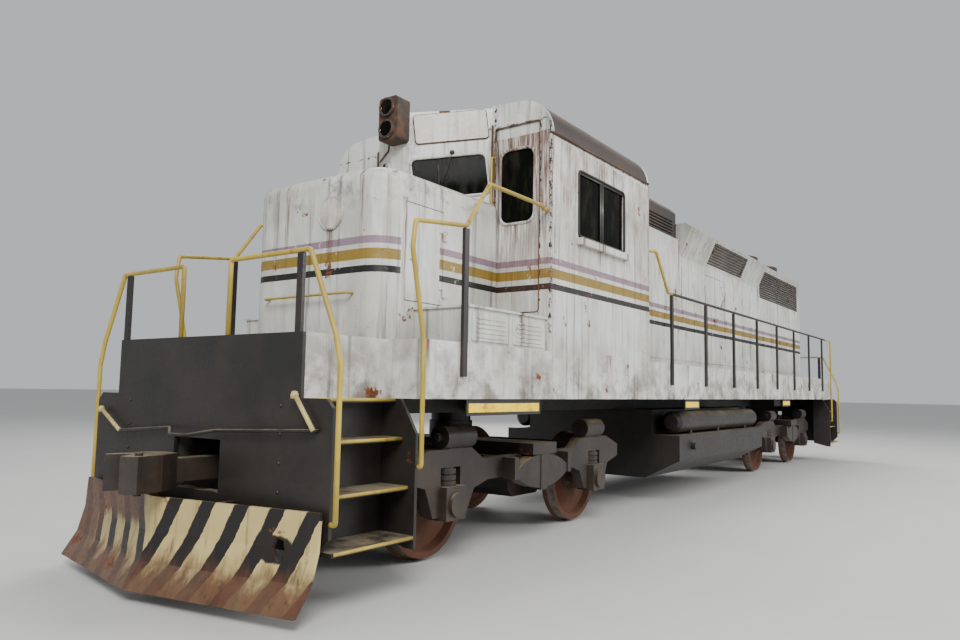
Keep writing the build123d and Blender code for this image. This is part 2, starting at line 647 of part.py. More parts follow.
with BuildPart() as nose:
    block(NOSE_X0, NOSE_X1, -NOSE_HALF, NOSE_HALF, DECK_Z, NOSE_TOP_Z)
    fillet(nose.edges().filter_by(Axis.Z).group_by(Axis.X)[-1], NOSE_CORNER_R)
    rim = [e for e in nose.faces().sort_by(Axis.Z)[-1].edges() if e.center().X > NOSE_X0 + 1]
    fillet(rim, NOSE_TOP_R)
    with BuildSketch(Plane.XY.offset(DECK_Z)) as room:
        with Locations(((NOSE_X0 + NOSE_X1 - NOSE_WALL) / 2 - 200, 0)):
            Rectangle(NOSE_X1 - NOSE_WALL - NOSE_X0 + 400, 2 * (NOSE_HALF - NOSE_WALL))
        fillet(room.vertices().group_by(Axis.X)[-1], NOSE_CORNER_R - NOSE_WALL)
    extrude(room.sketch, amount=NOSE_TOP_Z - DECK_Z - NOSE_WALL - 60, mode=Mode.SUBTRACT)
    plan_prism(front_plan() + [(CAB_X1 - 500, -CAB_HALF), (CAB_X1 - 500, CAB_HALF)], DECK_Z, ROOF_Z,
               Mode.SUBTRACT)
    door_opening(DOORS["nose_door"])
    lengthwise(NOSE_X1, NOSE_X1 + 12, LAMP_BLANK_Y, LAMP_BLANK_Z, LAMP_BLANK_R)

# Cab front wall: flat beside the bay, folded forward to the bay's front, with the left door's opening,
# two windscreens and the edge that carries the roof.
with BuildPart() as cab_front_wall:
    plan_prism(front_plan() + list(reversed(front_plan(CAB_WALL))), DECK_Z, ROOF_Z)
    with BuildSketch(Plane.YZ.offset(CAB_X1 - 2 * CAB_WALL)) as section:
        cab_outline()
    extrude(section.sketch, amount=BAY_X - CAB_X1 + 3 * CAB_WALL, mode=Mode.INTERSECT)
    for side in (1, -1):
        rounded_hole(bay_plane(side, WINDSCREEN_Z), WINDSCREEN_W, WINDSCREEN_H, WINDSCREEN_R, 2 * CAB_WALL,
                     tilt=side * BAY_TILT)
    side_prism([(CAB_X1 - CAB_WALL, BAY_ROOF_Z0), (BAY_X + 1, BAY_ROOF_Z1), (BAY_X + 1, ROOF_Z + 50),
                (CAB_X1 - CAB_WALL, ROOF_Z + 50)],
               -BAY_HALF, BAY_HALF, Mode.SUBTRACT)
    with BuildSketch(Plane.YZ.offset(CAB_X1)) as right_pane:
        with Locations((-1130, PANE_Z)):
            RectangleRounded(440, 760, 90)
    extrude(right_pane.sketch, amount=2 * CAB_WALL, both=True, mode=Mode.SUBTRACT)
    door_opening(DOORS["cab_front_door"])

# Cab rear wall, closing against the hood between the walkways, with the right door's opening.
with BuildPart() as cab_rear_wall:
    with BuildSketch(Plane.YZ.offset(CAB_X0)) as section:
        cab_outline()
    extrude(section.sketch, amount=CAB_WALL)
    door_opening(DOORS["cab_rear_door"])

# Cab side walls, with one wide window each and an arm rest ledge under it.
WINDOW_X0 = 3930
WINDOW_X1 = 5030
WINDOW_Z1 = EAVE_Z - 270
WINDOW_Z0 = WINDOW_Z1 - 700
WINDOW_R = 40
LEDGE_OUT = 60


def cab_side_wall(side):
    with BuildPart() as wall:
        y0, y1 = sorted((side * (CAB_HALF - CAB_WALL), side * CAB_HALF))
        block(CAB_X0 + CAB_WALL, CAB_X1 - CAB_WALL, y0, y1, DECK_Z, EAVE_Z)
        window = Plane.XZ.offset(-side * CAB_HALF)
        with BuildSketch(window) as hole:
            with Locations(((WINDOW_X0 + WINDOW_X1) / 2, (WINDOW_Z0 + WINDOW_Z1) / 2)):
                RectangleRounded(WINDOW_X1 - WINDOW_X0, WINDOW_Z1 - WINDOW_Z0, WINDOW_R)
        extrude(hole.sketch, amount=2 * CAB_WALL, both=True, mode=Mode.SUBTRACT)
        l0, l1 = sorted((side * CAB_HALF, side * (CAB_HALF + LEDGE_OUT)))
        block(WINDOW_X0 - 60, WINDOW_X1 + 30, l0, l1, WINDOW_Z0 - 90, WINDOW_Z0 - 20)
    return wall.part


# Cab roof: the arch between the end walls, and the sloping lid of the windscreen bay.
with BuildPart() as cab_roof:
    inner_x = CAB_X1 - CAB_WALL
    side_prism([(inner_x, BAY_ROOF_Z0 - CAB_WALL), (inner_x, BAY_ROOF_Z0), (BAY_X, BAY_ROOF_Z1),
                (BAY_X, BAY_ROOF_Z1 - CAB_WALL)],
               -BAY_HALF, BAY_HALF)
    plan_prism(front_plan(CAB_WALL)[1:-1], EAVE_Z, ROOF_Z, Mode.INTERSECT)
    with BuildSketch(Plane.YZ.offset(CAB_X0 + CAB_WALL)) as arch:
        cab_outline()
        cab_outline(CAB_WALL, Mode.SUBTRACT)
        with Locations((0, (DECK_Z + EAVE_Z) / 2)):
            Rectangle(3 * CAB_HALF, EAVE_Z - DECK_Z, mode=Mode.SUBTRACT)
    extrude(arch.sketch, amount=inner_x - CAB_X0 - CAB_WALL)

with BuildPart() as cab_floor:
    plan_prism(front_plan(CAB_WALL) + [(CAB_X0 + CAB_WALL, -CAB_HALF + CAB_WALL),
                                       (CAB_X0 + CAB_WALL, CAB_HALF - CAB_WALL)],
               CAB_FLOOR_Z - CAB_FLOOR_T, CAB_FLOOR_Z)
    block(CAB_X0, BAY_X, CAB_HALF - CAB_WALL, CAB_HALF, CAB_FLOOR_Z - CAB_FLOOR_T, CAB_FLOOR_Z, Mode.SUBTRACT)
    block(CAB_X0, BAY_X, -CAB_HALF, -CAB_HALF + CAB_WALL, CAB_FLOOR_Z - CAB_FLOOR_T, CAB_FLOOR_Z,
          Mode.SUBTRACT)

# Glass: panes filling the windscreens, the right front light, both side windows and no doors.
GLASS_T = 8

with BuildPart() as cab_glass:
    for side in (1, -1):
        face = bay_plane(side, WINDSCREEN_Z).offset(-CAB_WALL * 0.35)
        rounded_hole(face, WINDSCREEN_W, WINDSCREEN_H, WINDSCREEN_R, GLASS_T / 2, Mode.ADD, side * BAY_TILT)
    with BuildSketch(Plane.YZ.offset(CAB_X1 - CAB_WALL / 2)) as right_glass:
        with Locations((-1130, PANE_Z)):
            RectangleRounded(440, 760, 90)
    extrude(right_glass.sketch, amount=GLASS_T)
    for side in (1, -1):
        with BuildSketch(Plane.XZ.offset(-side * (CAB_HALF - CAB_WALL / 2))) as side_glass:
            with Locations(((WINDOW_X0 + WINDOW_X1) / 2, (WINDOW_Z0 + WINDOW_Z1) / 2)):
                RectangleRounded(WINDOW_X1 - WINDOW_X0, WINDOW_Z1 - WINDOW_Z0, WINDOW_R)
        extrude(side_glass.sketch, amount=GLASS_T)

# Control stand and two seats, seen through the glass.
with BuildPart() as control_stand:
    side_prism([(4650, CAB_FLOOR_Z), (5150, CAB_FLOOR_Z), (5150, 3250), (5000, 3350), (4880, 3350),
                (4700, 3120)], -820, -420)
    block(4560, 4720, -780, -460, 2950, 3010)

with BuildPart() as seats:
    for y in (1000, -1150):
        upright(4150, y, CAB_FLOOR_Z, 2680, 70)
        upright(4150, y, CAB_FLOOR_Z, CAB_FLOOR_Z + 30, 200)
        block(3930, 4380, y - 230, y + 230, 2680, 2780)
        block(3880, 3960, y - 230, y + 230, 2740, 3330)

# Number boards: blank plates over the windscreens and on the hood's rear corners.
BOARD_T = 22

with BuildPart() as number_boards:
    for side in (1, -1):
        with BuildSketch(bay_plane(side, ROOF_Z - 265)) as board:
            RectangleRounded(760, 300, 30, rotation=side * BAY_TILT)
        extrude(board.sketch, amount=BOARD_T)
    for y in (520, -520):
        block(RADIATOR_X0 - BOARD_T, RADIATOR_X0, y - 250, y + 250, 3830, 4080)

# Headlights: twin lamps one over the other at the bay's front, and side by side at the hood's rear.
LAMP_BOX = 190

with BuildPart() as headlights:
    block(BAY_X, BAY_X + LAMP_BOX, -BAY_FRONT_HALF, BAY_FRONT_HALF, ROOF_Z - 450, ROOF_Z + 10)
    fillet(headlights.edges().filter_by(Axis.X), 40)
    for z in (ROOF_Z - 335, ROOF_Z - 105):
        lengthwise(BAY_X + LAMP_BOX, BAY_X + LAMP_BOX + 40, 0, z, 98)
        lengthwise(BAY_X + LAMP_BOX + 25, BAY_X + LAMP_BOX + 41, 0, z, 82, Mode.SUBTRACT)
    block(RADIATOR_X0 - 90, RADIATOR_X0, -230, 230, 3840, 4070)
    for y in (105, -105):
        lengthwise(RADIATOR_X0 - 120, RADIATOR_X0 - 90, y, 3955, 92)
        lengthwise(RADIATOR_X0 - 121, RADIATOR_X0 - 105, y, 3955, 78, Mode.SUBTRACT)

# Filter section of the hood behind the cab: light lower sides, dark hatch above with slatted intakes.
LEAF_RELIEF = 8
LATCH_OUT = 22


def relief_leaves(spans, z0, z1):
    """Shut sheet doors standing proud of both sides of the hood, each with a latch bar and two hinges."""
    for side in (1, -1):
        face, proud, latch = (side * (HOOD_HALF + out) for out in (0, LEAF_RELIEF, LATCH_OUT))
        for x0, x1 in spans:
            block(x0, x1, *sorted((face, proud)), z0, z1)
            block(x1 - 60, x1 - 35, *sorted((face, latch)), (z0 + z1) / 2 - 70, (z0 + z1) / 2 + 70)
            for z in (z0 + 200, z1 - 300):
                block(x0 - 12, x0 + 12, *sorted((face, latch)), z, z + 90)


with BuildPart() as filter_section:
    block(FILTER_X0, CAB_X0, -HOOD_HALF, HOOD_HALF, DECK_Z, FILTER_TOP_Z)
    leaf_starts = [FILTER_X0 + along for along in (100, 710, 1320, 1930)]
    relief_leaves([(x, x + 550) for x in leaf_starts], 2050, FILTER_TOP_Z - 300)

with BuildPart() as filter_hatch:
    block(FILTER_X0, CAB_X0, -HATCH_HALF, HATCH_HALF, FILTER_TOP_Z, HATCH_TOP_Z)
    chamfer(filter_hatch.edges().filter_by(Axis.X).group_by(Axis.Z)[-1], 90)
    for side in (1, -1):
        y0, y1 = sorted((side * HATCH_HALF, side * (HATCH_HALF + 25)))
        for row in range(6):
            z0 = FILTER_TOP_Z + 30 + row * 48
            block(FILTER_X0 + 150, CAB_X0 - 150, y0, y1, z0, z0 + 20)

# Engine section of the hood: a hollow box with a row of door leaves in relief on both sides and two
# real leaves at the engine.
LEAF_W = 490
# Front edges of the leaves that are drawn shut
SHUT_LEAVES = (500, -72, -1644, -2156, -2668, -3180)

with BuildPart() as engine_hood:
    block(ENGINE_X0, FILTER_X0, -HOOD_HALF, HOOD_HALF, DECK_Z, ENGINE_TOP_Z)
    block(ENGINE_X0 + HOOD_WALL, FILTER_X0 - HOOD_WALL, -HOOD_HALF + HOOD_WALL, HOOD_HALF - HOOD_WALL,
          DECK_Z - 1, ENGINE_TOP_Z + 1, Mode.SUBTRACT)
    relief_leaves([(x1 - LEAF_W, x1) for x1 in SHUT_LEAVES], 2050, 3550)
    for name in ("engine_door_left_front", "engine_door_left_rear", "engine_door_right_front",
                 "engine_door_right_rear"):
        door_opening(DOORS[name])

with BuildPart() as engine_block:
    block(-3300, 300, -620, 620, DECK_Z, 2500)
    cross_prism([(-300, 2500), (300, 2500), (620, 3150), (380, 3330), (0, 2900), (-380, 3330),
                 (-620, 3150)], -2900, 200)

# Dynamic brake housing over the engine: its sides flare outward and hold a slatted intake each.
BRAKE_GRILLE_X0 = -2550
BRAKE_GRILLE_X1 = -640
GRILLE_SLATS = 8

with BuildPart() as brake_housing:
    cross_prism(
        [(-HOOD_HALF, ENGINE_TOP_Z), (HOOD_HALF, ENGINE_TOP_Z), (FLARE_HALF, FLARE_Z),
         (FLARE_HALF - 90, HOUSING_TOP_Z),
         (-FLARE_HALF + 90, HOUSING_TOP_Z), (-FLARE_HALF, FLARE_Z)],
        ENGINE_X0, FILTER_X0)
    lean = degrees(atan2(FLARE_HALF - HOOD_HALF, FLARE_Z - ENGINE_TOP_Z))
    for side in (1, -1):
        y_mid = side * (FLARE_HALF + HOOD_HALF) / 2
        z_mid = (FLARE_Z + ENGINE_TOP_Z) / 2
        with Locations(Location(((BRAKE_GRILLE_X0 + BRAKE_GRILLE_X1) / 2, y_mid, z_mid),
                                (-side * lean, 0, 0))):
            Box(BRAKE_GRILLE_X1 - BRAKE_GRILLE_X0, 100, 380, mode=Mode.SUBTRACT)

# Radiator section at the rear: light lower walls with shut doors, slatted radiator grilles above,
# rounded rear corners.
with BuildPart() as radiator_section:
    block(RADIATOR_X0, ENGINE_X0, -HOOD_HALF, HOOD_HALF, DECK_Z, RADIATOR_TOP_Z)
    fillet(radiator_section.edges().filter_by(Axis.Z).group_by(Axis.X)[0], 160)
    top_edges = radiator_section.faces().sort_by(Axis.Z)[-1].edges()
    fillet([edge for edge in top_edges if edge.center().X < ENGINE_X0 - 1], 90)
    for side in (1, -1):
        y0, y1 = sorted((side * (HOOD_HALF - 40), side * (HOOD_HALF + 1)))
        block(RADIATOR_X0 + 350, ENGINE_X0 - 120, y0, y1, GRILLE_Z0, GRILLE_Z1, Mode.SUBTRACT)
    relief_leaves([(x, x + 570) for x in (-7200, -6560, -5920, -5280, -4640)], 2050, 3400)

# Grille slats: leaning ones in the brake housing, level ones in the radiator openings.
with BuildPart() as grilles:
    for side in (1, -1):
        y_mid = side * ((FLARE_HALF + HOOD_HALF) / 2 - 26)
        z_mid = (FLARE_Z + ENGINE_TOP_Z) / 2
        with Locations(Location(((BRAKE_GRILLE_X0 + BRAKE_GRILLE_X1) / 2, y_mid, z_mid),
                                (-side * lean, 0, 0))):
            with Locations(*[(0, 0, -165 + 47 * row) for row in range(GRILLE_SLATS)]):
                Box(BRAKE_GRILLE_X1 - BRAKE_GRILLE_X0, 34, 16)
    for side in (1, -1):
        y0, y1 = sorted((side * (HOOD_HALF - 40), side * (HOOD_HALF - 6)))
        for row in range(12):
            z0 = GRILLE_Z0 + 15 + row * 49
            block(RADIATOR_X0 + 350, ENGINE_X0 - 120, y0, y1, z0, z0 + 18)

# Roof fans: a ring, a motor boss and guard bars for each, with a free rotor inside.
FAN_R = 610
RING_T = 30
RING_H = 230
ROTOR_R = 590
HUB_R = 130
BOSS_H = 55
BLADES = 8
FANS = {
    # name: (x, roof height)
    "radiator_fan_front": (-4750, RADIATOR_TOP_Z),
    "radiator_fan_rear": (-6350, RADIATOR_TOP_Z),
    "brake_fan": (-1600, HOUSING_TOP_Z),
}

with BuildPart() as fan_housings:
    for x, z in FANS.values():
        upright(x, 0, z, z + RING_H, FAN_R + RING_T)
        upright(x, 0, z, z + RING_H, FAN_R, Mode.SUBTRACT)
        for k in range(-2, 3):
            reach = (FAN_R ** 2 - (k * 200) ** 2) ** 0.5 + RING_T / 2
            block(x - reach, x + reach, k * 200 - 8, k * 200 + 8, z + RING_H - 12, z + RING_H)
        block(x - 8, x + 8, -FAN_R - 5, FAN_R + 5, z + RING_H - 24, z + RING_H - 12)
        upright(x, 0, z, z + BOSS_H, HUB_R + 20)


def fan_rotor(x, roof_z):
    z0 = roof_z + BOSS_H + PIVOT_GAP
    with BuildPart() as rotor:
        upright(x, 0, z0, z0 + 110, HUB_R)
        with Locations((x, 0, z0 + 55)):
            with PolarLocations((HUB_R + ROTOR_R) / 2 - 10, BLADES):
                with Locations(Rotation(28, 0, 0)):
                    Box(ROTOR_R - HUB_R + 20, 150, 12)
    return rotor.part


# Exhaust stacks over the engine, before and behind the brake fan.
with BuildPart() as exhaust_stacks:
    for x in (-350, -2900):
        block(x - 260, x + 260, -170, 170, HOUSING_TOP_Z, HOUSING_TOP_Z + 200)
        block(x - 235, x + 235, -145, 145, HOUSING_TOP_Z + 30, HOUSING_TOP_Z + 201, Mode.SUBTRACT)

# Air horn: three trumpets on a bar on the cab roof.
with BuildPart() as air_horn:
    block(4280, 4340, -260, 260, ROOF_Z + 60, ROOF_Z + 100)
    block(4290, 4330, -30, 30, ROOF_Z, ROOF_Z + 60)
    for y, length in ((-220, 420), (0, 340), (220, 260)):
        with BuildSketch(Plane.XY.offset(ROOF_Z + 80)) as trumpet:
            with BuildLine():
                Polyline((4330, y), (4330, y + 16), (4330 + length * 0.7, y + 26), (4330 + length, y + 70),
                         (4330 + length, y), close=True)
            make_face()
        revolve(trumpet.sketch, axis=Axis((4330, y, ROOF_Z + 80), (1, 0, 0)))

# Stanchions: flat posts on the sill's face, and one at each corner of the end plates.
STANCHION_XS = (2500, 1200, -100, -1400, -2700, -4000, -5300, -6600)
NOSE_POST_X = 7000
NOSE_RAIL_Z = 2885
END_POST_Y = 1120
END_RAIL_Z = 2500

with BuildPart() as stanchions:
    for x in STANCHION_XS:
        block(x - 30, x + 30, SILL_Y, SILL_Y + 30, SILL_BOTTOM_Z + 180, RAIL_Z - RAIL_R)
    block(NOSE_POST_X - 30, NOSE_POST_X + 30, SILL_Y, SILL_Y + 30, SILL_BOTTOM_Z + 180,
          NOSE_RAIL_Z - RAIL_R - 4)
    for end in (1, -1):
        block(end * LADDER_FRONT_X - PLATE_T / 2, end * LADDER_FRONT_X + PLATE_T / 2, END_POST_Y - 30,
              END_POST_Y + 30, DECK_Z,
              END_RAIL_Z - RAIL_R)
    mirrored_pair()

# Yellow rails at the corners, up the steps and past the cab, and dark rails along the hood.
GRAB_Z = 3310
with BuildPart() as corner_rails:
    for end in (1, -1):
        tube([(end * LADDER_FRONT_X, 310, DECK_Z), (end * LADDER_FRONT_X, 310, END_RAIL_Z),
              (end * LADDER_FRONT_X, 1210, END_RAIL_Z),
              (end * LADDER_FRONT_X, 1490, 1900), (end * LADDER_FRONT_X, RAIL_Y, 1700),
              (end * LADDER_FRONT_X, RAIL_Y, 640),
              (end * LADDER_FRONT_X, STEP_OUT_Y, 640)])
    tube([(LADDER_REAR_X, RAIL_Y, 930), (LADDER_REAR_X, RAIL_Y, 1900), (7670, RAIL_Y, 2600),
          (7640, RAIL_Y, 2810),
          (NOSE_POST_X, RAIL_Y, NOSE_RAIL_Z), (6680, RAIL_Y, GRAB_Z), (5780, RAIL_Y, GRAB_Z),
          (5700, 1490, GRAB_Z),
          (CAB_X1, 1490, GRAB_Z)])
    block(LADDER_REAR_X - 15, LADDER_REAR_X + 15, STEP_OUT_Y, RAIL_Y, 940, 970)
    tube([(CAB_X0, 1490, GRAB_Z), (CAB_X0 - 90, 1490, GRAB_Z), (CAB_X0 - 170, RAIL_Y, GRAB_Z),
          (2640, RAIL_Y, RAIL_Z), (2500, RAIL_Y, RAIL_Z)])
    tube([(-LADDER_REAR_X, STEP_OUT_Y, 950), (-LADDER_REAR_X, RAIL_Y, 950), (-LADDER_REAR_X, RAIL_Y, RAIL_Z),
          (-6900, RAIL_Y, RAIL_Z)])
    mirrored_pair()

with BuildPart() as side_rails:
    for side in (1, -1):
        lengthwise(-6900, 2500, side * RAIL_Y, RAIL_Z, RAIL_R)


# The panes in the cab doors, set back from the face of each leaf
DOOR_PANES = {
    # name: (face of the wall inside the cab, way back into the leaf, middle in Y, width, height)
    "cab_front_door": (CAB_X1 - CAB_WALL, 1, 1110, 400, 760),
    "cab_rear_door": (CAB_X0 + CAB_WALL, -1, -1170, 290, 700),
}
DOOR_PANE_R = 90
DOOR_PANE_BACK = 12


def door(name):
    """A door leaf, with its window and pane where it has one."""
    with BuildPart() as leaf:
        door_leaf(DOORS[name])
        if name in DOOR_PANES:
            face, back, y, width, height = DOOR_PANES[name]
            wall = Plane(origin=(face, y, PANE_Z), x_dir=(0, 1, 0), z_dir=(1, 0, 0))
            glass = wall.offset(back * DOOR_PANE_BACK)
            rounded_hole(wall, width, height, DOOR_PANE_R, 40)
            rounded_hole(glass, width, height, DOOR_PANE_R, GLASS_T / 2, Mode.ADD)
    return leaf.part


parts = {
    "underframe": underframe.part, "deck": deck.part, "aprons": aprons.part, "side_sills": side_sills.part,
    "pilot_front": pilot_front, "pilot_rear": pilot_rear,
    "snow_plow": snow_plow.part, "step_wells": step_wells.part, "fuel_tank": fuel_tank.part,
    "air_reservoirs": air_reservoirs.part, "battery_boxes": battery_boxes.part, "nose": nose.part,
    "cab_front_wall": cab_front_wall.part, "cab_rear_wall": cab_rear_wall.part,
    "cab_left_wall": cab_side_wall(1),
    "cab_right_wall": cab_side_wall(-1), "cab_roof": cab_roof.part, "cab_floor": cab_floor.part,
    "cab_glass": cab_glass.part,
    "control_stand": control_stand.part, "seats": seats.part, "number_boards": number_boards.part,
    "headlights": headlights.part, "filter_section": filter_section.part, "filter_hatch": filter_hatch.part,
    "engine_hood": engine_hood.part, "engine_block": engine_block.part, "brake_housing": brake_housing.part,
    "radiator_section": radiator_section.part, "grilles": grilles.part,
    "fan_housings": fan_housings.part, "exhaust_stacks": exhaust_stacks.part, "air_horn": air_horn.part,
    "stanchions": stanchions.part, "corner_rails": corner_rails.part, "side_rails": side_rails.part,
    "coupler_front": coupler(1), "coupler_rear": coupler(-1),
}
for name in DOORS:
    parts[name] = door(name)
for name, (x, z) in FANS.items():
    parts[name] = fan_rotor(x, z)
for end, x in (("front", TRUCK_X), ("rear", -TRUCK_X)):
    parts["truck_frame_" + end] = truck_frame(x)
    parts["truck_springs_" + end] = truck_springs(x)
    parts["brake_rigging_" + end] = brake_rigging(x)
    parts["traction_motors_" + end] = traction_motors(x)
parts.update(wheelsets)

os.makedirs("parts", exist_ok=True)
for name, part in parts.items():
    part.label = name
    export_step(part, "parts/" + name + ".step")
print(len(parts), "parts")
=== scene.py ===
import json
import math
import bpy
import numpy as np
from mathutils import Matrix, Vector


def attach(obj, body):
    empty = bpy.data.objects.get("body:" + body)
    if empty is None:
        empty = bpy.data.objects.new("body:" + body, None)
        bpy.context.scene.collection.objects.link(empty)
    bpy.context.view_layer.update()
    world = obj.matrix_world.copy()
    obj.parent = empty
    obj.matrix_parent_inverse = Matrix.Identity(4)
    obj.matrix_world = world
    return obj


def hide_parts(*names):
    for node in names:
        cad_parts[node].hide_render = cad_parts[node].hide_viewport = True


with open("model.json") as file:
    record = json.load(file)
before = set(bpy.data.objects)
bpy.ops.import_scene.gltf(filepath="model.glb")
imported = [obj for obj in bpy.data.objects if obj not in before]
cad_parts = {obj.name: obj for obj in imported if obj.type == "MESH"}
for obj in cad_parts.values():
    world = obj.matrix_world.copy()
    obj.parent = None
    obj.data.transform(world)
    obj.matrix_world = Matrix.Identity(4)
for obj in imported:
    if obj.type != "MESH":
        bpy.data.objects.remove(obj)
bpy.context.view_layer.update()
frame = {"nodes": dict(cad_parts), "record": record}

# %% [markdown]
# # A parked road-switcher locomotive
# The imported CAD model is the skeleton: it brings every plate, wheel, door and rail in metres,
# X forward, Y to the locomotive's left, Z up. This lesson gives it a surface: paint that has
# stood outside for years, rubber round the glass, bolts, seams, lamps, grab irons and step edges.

nodes = frame["nodes"]

# %% [markdown]
# ## Helpers for materials
# A finish could be painted as an image, but noise worked out in the shader stays sharp at any
# distance and needs no unwrapping. Colours are picked as screen hex values and turned into linear
# light once, here. One function adds any shader node. Scales are in marks a metre, so a noise of 34
# has marks about 30 mm across, and a stretched one of 13 across and 0.55 upward makes long streaks.


# %% Material helpers
SMOOTH = {"interpolation_type": "SMOOTHSTEP"}
COLOUR = {"data_type": "RGBA"}


def linear(code):
    """A hex colour as linear RGBA: c/12.92 below 0.04045, else ((c+0.055)/1.055)^2.4."""
    channels = np.array([int(code[i:i + 2], 16) for i in (1, 3, 5)]) / 255
    light = np.where(channels <= 0.04045, channels / 12.92, ((channels + 0.055) / 1.055) ** 2.4)
    return (*light.tolist(), 1.0)


def add(tree, kind, *values, output=None, **settings):
    """Adds a shader node with its settings and returns one of its outputs, the first if none is named.

    The values are numbers, colours or other nodes' outputs. They go in order to the inputs that the
    settings leave in use, or one dictionary gives them by the inputs' names.
    """
    made = tree.nodes.new("ShaderNode" + kind)
    for name, value in settings.items():
        setattr(made, name, value)
    if values and isinstance(values[0], dict):
        chosen = [(made.inputs[name], value) for name, value in values[0].items()]
    else:
        chosen = zip([socket for socket in made.inputs if socket.enabled], values)
    for socket, value in chosen:
        if isinstance(value, bpy.types.NodeSocket):
            tree.links.new(value, socket)
        else:
            socket.default_value = value
    offered = [socket for socket in made.outputs if socket.enabled and output in (None, socket.name)]
    return offered[0] if offered else None


def new_material(name):
    """An empty material, its node tree and the place in metres that its patterns read."""
    material = bpy.data.materials.new(name)
    material.use_nodes = True
    tree = material.node_tree
    tree.nodes.clear()
    return material, tree, add(tree, "TexCoord", output="Object")


def axes_of(tree, vector):
    """A vector's X, Y and Z as numbers."""
    return {axis: add(tree, "SeparateXYZ", vector, output=axis) for axis in "XYZ"}


def finish(material, colour, roughness, height=None, depth=0.001, **extra):
    """The shader at the end: colour and roughness, with height in steps of depth metres as bump."""
    tree = material.node_tree
    inputs = {"Base Color": colour, "Roughness": roughness}
    inputs.update({name.replace("_", " "): value for name, value in extra.items()})
    if height is not None:
        inputs["Normal"] = add(tree, "Bump", {"Height": height, "Distance": depth, "Strength": 0.6})
    add(tree, "OutputMaterial", {"Surface": add(tree, "BsdfPrincipled", inputs)})
    print(material.name, "has", len(tree.nodes), "shader nodes")
    return material


# %% [markdown]
# ## Weather
# The same three things age every painted surface: rust that breaks out in spots and runs down
# from them, soot and algae that follow the rain, and dust on whatever faces up. Rust pits are
# really about 3 mm across. They are drawn at 30 mm, because finer ones don't show from the camera.

# %% Weather colours
RUST_DARK = linear("#3a1c0e")
RUST_BRIGHT = linear("#8a4a22")
DUST = linear("#8d8069")
SOOT = linear("#1d1a17")
print("dark rust in linear light:", [round(part, 4) for part in RUST_DARK[:3]])


# %% Weather function
def weather(tree, where, colour, rust, streaks, dust):
    """Ages a colour, each kind of wear from 0 to 1. Returns (colour, roughness, height).

    Bare steel shows where large spots plus 0.16 of the fine pits pass a limit that rust lowers.
    Streaks are noise squeezed sideways, and dust is kept where the face's normal points up.
    """
    spots = add(tree, "TexNoise", where, 3.1, 12, 0.68)
    pits = add(tree, "TexNoise", where, 34, 8, 0.7)
    fine = add(tree, "Math", pits, 0.16, operation="MULTIPLY")
    broken = add(tree, "Math", spots, fine, operation="ADD")
    bare = add(tree, "MapRange", broken, 0.80 - 0.13 * rust, 0.84 - 0.13 * rust, **SMOOTH)
    runs = add(tree, "TexNoise", add(tree, "Mapping", {"Vector": where, "Scale": (13, 13, 0.55)}), 1, 9, 0.62)
    thin = add(tree, "TexNoise", add(tree, "Mapping", {"Vector": where, "Scale": (60, 60, 1.1)}), 1, 4, 0.5)
    thin = add(tree, "Math", thin, 0.18, operation="MULTIPLY")
    water = add(tree, "Math", runs, thin, operation="ADD")
    wet = add(tree, "MapRange", water, 0.60, 0.80, 0, streaks, **SMOOTH)
    grime = add(tree, "Mix", add(tree, "TexNoise", where, 0.9, 5, 0.6), SOOT, RUST_DARK, **COLOUR)
    aged = add(tree, "Mix", wet, colour, grime, **COLOUR)
    upward = add(tree, "SeparateXYZ", add(tree, "NewGeometry", output="Normal"), output="Z")
    level = add(tree, "MapRange", upward, 0.35, 0.95, **SMOOTH)
    patches = add(tree, "MapRange", spots, 0.30, 0.62, 0, dust, **SMOOTH)
    settled = add(tree, "Math", level, patches, operation="MULTIPLY")
    aged = add(tree, "Mix", settled, aged, DUST, **COLOUR)
    bright = add(tree, "MapRange", pits, 0.35, 0.68, **SMOOTH)
    oxide = add(tree, "Mix", bright, RUST_DARK, RUST_BRIGHT, **COLOUR)
    aged = add(tree, "Mix", bare, aged, oxide, **COLOUR)
    dull = add(tree, "MapRange", pits, 0.3, 0.7, 0.36, 0.56, **SMOOTH)
    rougher = add(tree, "Math", bare, 0.3, operation="MULTIPLY")
    roughness = add(tree, "Math", dull, rougher, operation="ADD")
    grain = add(tree, "Math", pits, 0.35, operation="MULTIPLY")
    eaten = add(tree, "Math", bare, 0.6, operation="MULTIPLY")
    return aged, roughness, add(tree, "Math", grain, eaten, operation="SUBTRACT")


def weathered(name, code, second, rust, streaks, dust):
    """Brushed or sprayed enamel on steel: two close tones in soft patches, then the weather."""
    material, tree, where = new_material(name)
    patches = add(tree, "MapRange", add(tree, "TexNoise", where, 1.7, 7, 0.6), 0.35, 0.65, **SMOOTH)
    tone = add(tree, "Mix", patches, linear(code), linear(second), **COLOUR)
    colour, roughness, height = weather(tree, where, tone, rust, streaks, dust)
    return finish(material, colour, roughness, height, 0.0015)


# %% [markdown]
# ## The livery
# Off-white body enamel carries three level stripes all the way round, mauve over gold over black.
# They are part of the paint, so they are cut by height in the shader: a stripe is kept where the
# height lies within half its width of its middle. On the nose's left side they stop short at the
# small door, which was repainted plain.

# %% Stripes
# middle and half width in Z, and colour
MAUVE = (2.815, 0.033, "#8b7782")
GOLD = (2.692, 0.047, "#8b722a")
BLACK = (2.560, 0.030, "#121110")
PLAIN_X = (6.53, 7.06)
print("stripe middles at", [middle for middle, half, code in (MAUVE, GOLD, BLACK)], "m")

# %% [markdown]
# Rust runs down from the places where water gets in: the cab's corners, window corners, hinges and
# the nose's seams. Each run has its own line in a table, because the eye knows where water collects
# and even noise would put rust anywhere.

